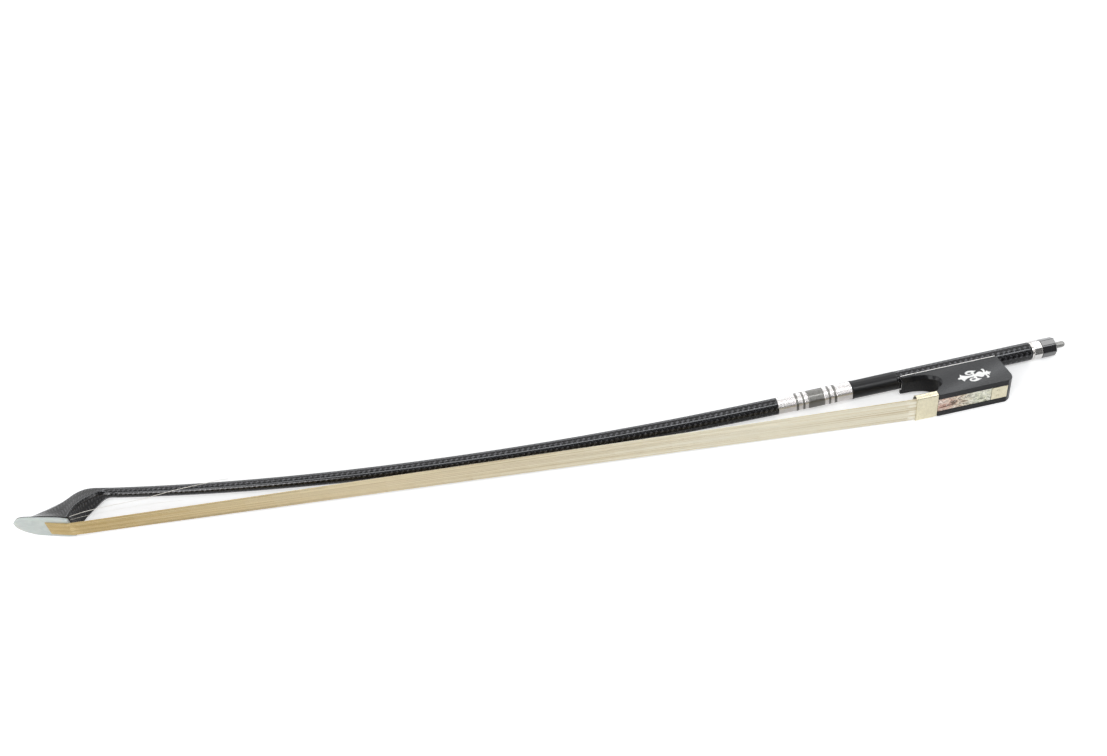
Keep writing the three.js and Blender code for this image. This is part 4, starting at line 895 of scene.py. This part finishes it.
def ferruleLoop(inset):
    # A D: a flat below with round corners, and half an ellipse above, each point at an even share.
    f = ferruleSize
    half, low = f["width"] / 2 - inset, f["flat"] + inset
    corner = max(f["corner"] - inset, 0.3)
    spring = f["flat"] + f["height"] * f["springShare"]
    top = f["flat"] + f["height"] - inset
    arch = np.linspace(0, np.pi, 40)
    turn = np.linspace(0, np.pi / 2, 7)
    rise, inward = low + corner * (1 - np.sin(turn)), half - corner * (1 - np.cos(turn))
    y = np.concatenate([spring + (top - spring) * np.sin(arch), rise, np.full(20, low), rise[::-1]])
    z = np.concatenate([-half * np.cos(arch), inward, np.linspace(half - corner, corner - half, 22)[1:-1],
                        -inward[::-1]])
    loop = np.column_stack([y, z])
    closed = np.vstack([loop, loop[:1]])
    place = np.concatenate([[0], np.cumsum(np.linalg.norm(np.diff(closed, axis=0), axis=1))])
    want = np.arange(f["points"]) / f["points"] * place[-1]
    return np.column_stack([np.interp(want, place, side) for side in closed.T])


def ferruleRing():
    # Outer skin with a thin lip at its front, then the inner skin on the way back, as [along, inset].
    end, wall = ferruleSize["length"], ferruleSize["wall"]
    profile = np.array([
        (0, 0.12), (0.08, 0.02), (0.5, 0.0), (0.9, 0.02), (1.0, 0.12), (1.15, 0.16), (7, 0.16),
        (end - 0.4, 0.16), (end - 0.1, 0.2), (end, 0.32), (end, 0.62), (end - 0.3, wall), (7, wall),
        (0.3, wall), (0, 0.6),
    ])
    loops = np.array([ferruleLoop(inset) for inset in profile[:, 1]])
    x = np.broadcast_to(ferruleSize["front"] + profile[:, :1, None], (*loops.shape[:2], 1))
    along = profile[:, 0] + np.arange(len(profile)) * 0.001
    return skin("ferruleRing", np.concatenate([x, loops], 2), along, closeRows=True)


ferrule = finishPiece(ferruleRing(), "frog", nickelSilver, "nickel_silver", "ferrule")
creaseAngle(ferrule, 40)

slideSize = dict(front=-75.45, back=-40.05, half=5.0, low=-31.07, thick=1.0, trim=0.12, edge=0.18)


def pearlFace():
    # A long slab with rounded edges, its end rows drawn in a little.
    s = slideSize
    x = np.concatenate([[s["front"], s["front"] + 0.06], np.linspace(s["front"] + 0.25, s["back"] - 0.25, 40),
                        [s["back"] - 0.06, s["back"]]])
    trim = s["trim"] * ((x == x[0]) | (x == x[-1]))
    low = s["low"] + trim
    loop = roundedLoop(s["half"] - trim, low, s["low"] + s["thick"] + 0 * x, s["edge"], flats=20, turns=3)
    points = np.stack([np.broadcast_to(x[:, None], loop.shape[:2]), loop[..., 1], loop[..., 0]], -1)
    return skin("pearlFace", points)


finishPiece(pearlFace(), "frog", abalone, "pearl", "pearl_slide")
print("frog made")


# Lilies in the cheeks
for label in ("upper", "lower"):
    softCopy("cheek_inlay_" + label, "lily" + label.title(), softSize["lilyBevel"], "frog", whiteShell,
             "inlay", everywhere)
print("lilies made")


# Button and screw
buttonSize = dict(
    turn=14.5, sides=96, cornerPower=46, creaseDegrees=38,  # degrees between its facets and the handle's
    ring=[
        (0.3, 2.0, 1), (0.3, 5.75, 1), (0.36, 6.0, 1), (0.52, 6.2, 1), (0.8, 6.25, 1), (1.0, 6.2, 1),
        (1.14, 6.0, 1), (1.2, 5.75, 1), (1.32, 5.4, 1), (1.6, 5.3, 1), (1.84, 5.4, 1), (1.9, 5.75, 0),
        (2.05, 5.93, 0), (2.2, 6.0, 0), (2.35, 6.0, 0), (6.95, 6.0, 0), (7.1, 6.0, 0), (7.3, 5.93, 0),
        (7.4, 5.75, 0), (7.4, 2.0, 0.5),
    ],
    core=[
        (7.65, 2.0, 0.5), (7.65, 5.75, 0), (7.73, 5.92, 0), (7.9, 6.0, 0), (8.05, 6.0, 0), (16.4, 6.0, 0),
        (16.6, 6.0, 0), (16.95, 5.85, 0), (17.15, 5.55, 0), (17.2, 5.2, 0.1), (17.2, 2.2, 1),
    ],
)


def turnedSkin(name, x, reach, angle, degrees):
    # Rings round the handle's axis: reach*cos(angle) and reach*sin(angle) at each place.
    places = np.broadcast_to(x[:, None], reach.shape)
    piece = skin(name, np.stack([places, reach * np.cos(angle), reach * np.sin(angle)], -1))
    creaseAngle(piece, degrees)
    return piece


def barrel(name, profile):
    # Rings from [place, inner radius, roundness]: 0 is an octagon and 1 a circle.
    b = buttonSize
    profile = np.array(profile, float)
    angle = anglesRound(b["sides"])
    octagon = octagonReach(angle - np.radians(b["turn"]), b["cornerPower"])[None, :]
    reach = profile[:, 1:2] * (octagon * (1 - profile[:, 2:]) + profile[:, 2:])
    return turnedSkin(name, profile[:, 0], reach, angle, b["creaseDegrees"])


finishPiece(barrel("buttonRing", buttonSize["ring"]), "screw", buttonSilver, "winding_silver", "button_ring")
finishPiece(barrel("buttonCore", buttonSize["core"]), "screw", glossEbony, "ebony", "button_core")

screwSize = dict(
    reach=81.5, pitch=0.8, crest=1.6, shank=1.3, threadFrom=-71.5, threadTo=-39.5, sides=32, creaseDegrees=50,
    nipple=[(17.45, 1.3), (17.45, 1.9), (17.52, 2.0), (20.0, 2.0), (23.4, 2.0), (24.2, 1.88), (24.75, 1.5),
            (25.02, 0.9), (25.1, 0.3)],
)


def screwRod():
    # Radius shank, or crest less a share of the pitch times a triangle wave of place/pitch - turn:
    # a real helix.
    s = screwSize
    angle = anglesRound(s["sides"])
    x = np.concatenate([
        [-s["reach"], -s["reach"] + 0.4], np.arange(s["threadFrom"] - 1.2, s["threadTo"] + 1.2, 0.16),
        np.linspace(-35.5, 17.1, 12), [17.4],
    ])
    phase = (x[:, None] / s["pitch"] - angle[None, :] / (2 * np.pi)) % 1
    groove = 0.6 * s["pitch"] * np.abs(2 * phase - 1)
    cut = ease((x - s["threadFrom"]) / 1.0) * ease((s["threadTo"] - x) / 1.0)
    radius = s["shank"] + (s["crest"] - s["shank"] - groove) * cut[:, None]
    radius[0] = s["shank"] - 0.35
    nipple = np.array(s["nipple"])
    radius = np.vstack([radius, np.repeat(nipple[:, 1:], s["sides"], 1)])
    return turnedSkin("screwRod", np.concatenate([x, nipple[:, 0]]), radius, angle, s["creaseDegrees"])


finishPiece(screwRod(), "screw", steel, "steel", "screw")
print("button and screw made")


# The solids that stay
kept = {
    "handle_core": maple, "head_liner": fibre, "head_hair_plug": maple, "head_hair_knot": hairMaterial,
    "underslide_pin_1": steel, "underslide_pin_2": steel, "eyelet": brass, "spread_wedge": maple,
    "slide_base": ebony, "frog_hair_run": hairMaterial, "frog_hair_plug": maple,
    "frog_hair_knot": hairMaterial, "heel_plate_pin_1": nickelSilver, "heel_plate_pin_2": nickelSilver,
}
for node, material in kept.items():
    dress(frame["nodes"][node], material)
print("kept solids dressed:", len(kept))


# Camera, floor and light
cameraSize = dict(
    place=(-335.208, -516.893, 521.437), forward=(0.02888706, 0.75011854, -0.66067217),
    down=(-0.21126202, -0.64143584, -0.73751503), lens=36.067, sensor=36,
)
cameraData = bpy.data.cameras.new("camera")
cameraData.lens = cameraSize["lens"]
cameraData.sensor_width = cameraSize["sensor"]
camera = inScene("camera", cameraData)
back = -bowTurn @ unit(cameraSize["forward"])
up = -bowTurn @ unit(cameraSize["down"])
right = unit(np.cross(up, back))
up = np.cross(back, right)
pose = np.eye(4)
pose[:3, :3] = np.column_stack([right, up, back])
pose[:3, 3] = toRow(cameraSize["place"])
camera.matrix_world = Matrix(pose.tolist())
bpy.context.scene.camera = camera


floorSize = dict(half=6, toCamera=0.46, toReflections=0.2)  # half its side in metres, and its plain white


def paperFloor():
    # White paper: it takes the shadow, and a share of plain white keeps it pale to the camera and in
    # reflections.
    material, tree = newMaterial("white paper floor")
    tooth = noise(tree, objectPlace(tree), 0.05, 3)
    colour = mixColour(tree, tooth, rgb(0.78, 0.78, 0.78), rgb(0.81, 0.81, 0.81))
    paper = addNode(tree, "ShaderNodeBsdfDiffuse", {"Color": colour})
    path = addNode(tree, "ShaderNodeLightPath")
    mirrored = sums(tree, "MAXIMUM", path.outputs["Is Glossy Ray"], path.outputs["Is Transmission Ray"])
    level = plus(tree, times(tree, path.outputs["Is Camera Ray"], floorSize["toCamera"]),
                 times(tree, mirrored, floorSize["toReflections"]))
    glow = addNode(tree, "ShaderNodeEmission", {"Color": rgb(1, 1, 1), "Strength": level})
    both = addNode(tree, "ShaderNodeAddShader", {0: paper.outputs[0], 1: glow.outputs[0]})
    tree.links.new(both.outputs[0], addNode(tree, "ShaderNodeOutputMaterial").inputs[0])
    return material


floorMesh = bpy.data.meshes.new("floor")
half = floorSize["half"]
corners = [(-half, -half, 0), (half, -half, 0), (half, half, 0), (-half, half, 0)]
floorMesh.from_pydata(corners, [], [(0, 1, 2, 3)])
floorMesh.materials.append(paperFloor())
floor = inScene("floor", floorMesh)

lampSize = {
    "backLamp": dict(place=(0.0, 1.87, 0.95), size=(3.6, 0.45), power=14, colour=(0.94, 0.97, 1.0)),
    "topLamp": dict(place=(0.0, -0.86, 1.74), size=(4.2, 0.4), power=20, colour=(0.94, 0.97, 1.0)),
    "sideLamp": dict(place=(-1.5, -1.6, 1.0), size=(0.9, 0.9), power=15, colour=(1.0, 1.0, 1.0)),
}
for name, lamp in lampSize.items():
    data = bpy.data.lights.new(name, "AREA")
    data.shape = "RECTANGLE"
    data.size, data.size_y = lamp["size"]
    data.energy = lamp["power"]
    data.color = lamp["colour"]
    lampObject = inScene(name, data)
    lampObject.location = lamp["place"]
    lampObject.rotation_mode = "QUATERNION"
    lampObject.rotation_quaternion = (-Vector(lamp["place"])).to_track_quat("-Z", "Y")

world = bpy.data.worlds.new("studio")
world.use_nodes = True
tree = world.node_tree
tree.nodes.clear()
path = addNode(tree, "ShaderNodeLightPath")
rearward = partsOf(tree, addNode(tree, "ShaderNodeTexCoord").outputs["Generated"])[1]
front = stretch(tree, -0.95, -0.6, rearward, 0.06, 0.3)  # dark in front, white behind
mirrored = plus(tree, front, stretch(tree, -0.6, 0.3, rearward, 0, 0.66))
mirrored = minus(tree, mirrored, stretch(tree, 0.4, 0.8, rearward, 0, 0.26))
softBoxes = (-0.5, -0.3, 2.0), (0.28, 0.46, 1.8)  # from, to and strength, in reflections only
for low, high, strength in softBoxes:
    rising = stretch(tree, low, low + 0.05, rearward)
    falling = stretch(tree, high - 0.05, high, rearward, 1, 0)
    mirrored = plus(tree, mirrored, times(tree, times(tree, rising, falling), strength))
plainLevel = 0.46  # diffuse rays
background = sums(tree, "MAXIMUM", path.outputs["Is Camera Ray"], path.outputs["Is Transmission Ray"])
glossy = path.outputs["Is Glossy Ray"]
level = addNode(tree, "ShaderNodeMix", {0: glossy, 2: plainLevel, 3: mirrored}).outputs[0]
level = addNode(tree, "ShaderNodeMix", {0: background, 2: level, 3: 1.0}).outputs[0]
shown = addNode(tree, "ShaderNodeBackground", {"Color": rgb(1, 1, 1), "Strength": level})
tree.links.new(shown.outputs[0], addNode(tree, "ShaderNodeOutputWorld").inputs[0])
bpy.context.scene.world = world
bpy.context.scene.view_settings.view_transform = "Standard"
print("camera, floor and light made")
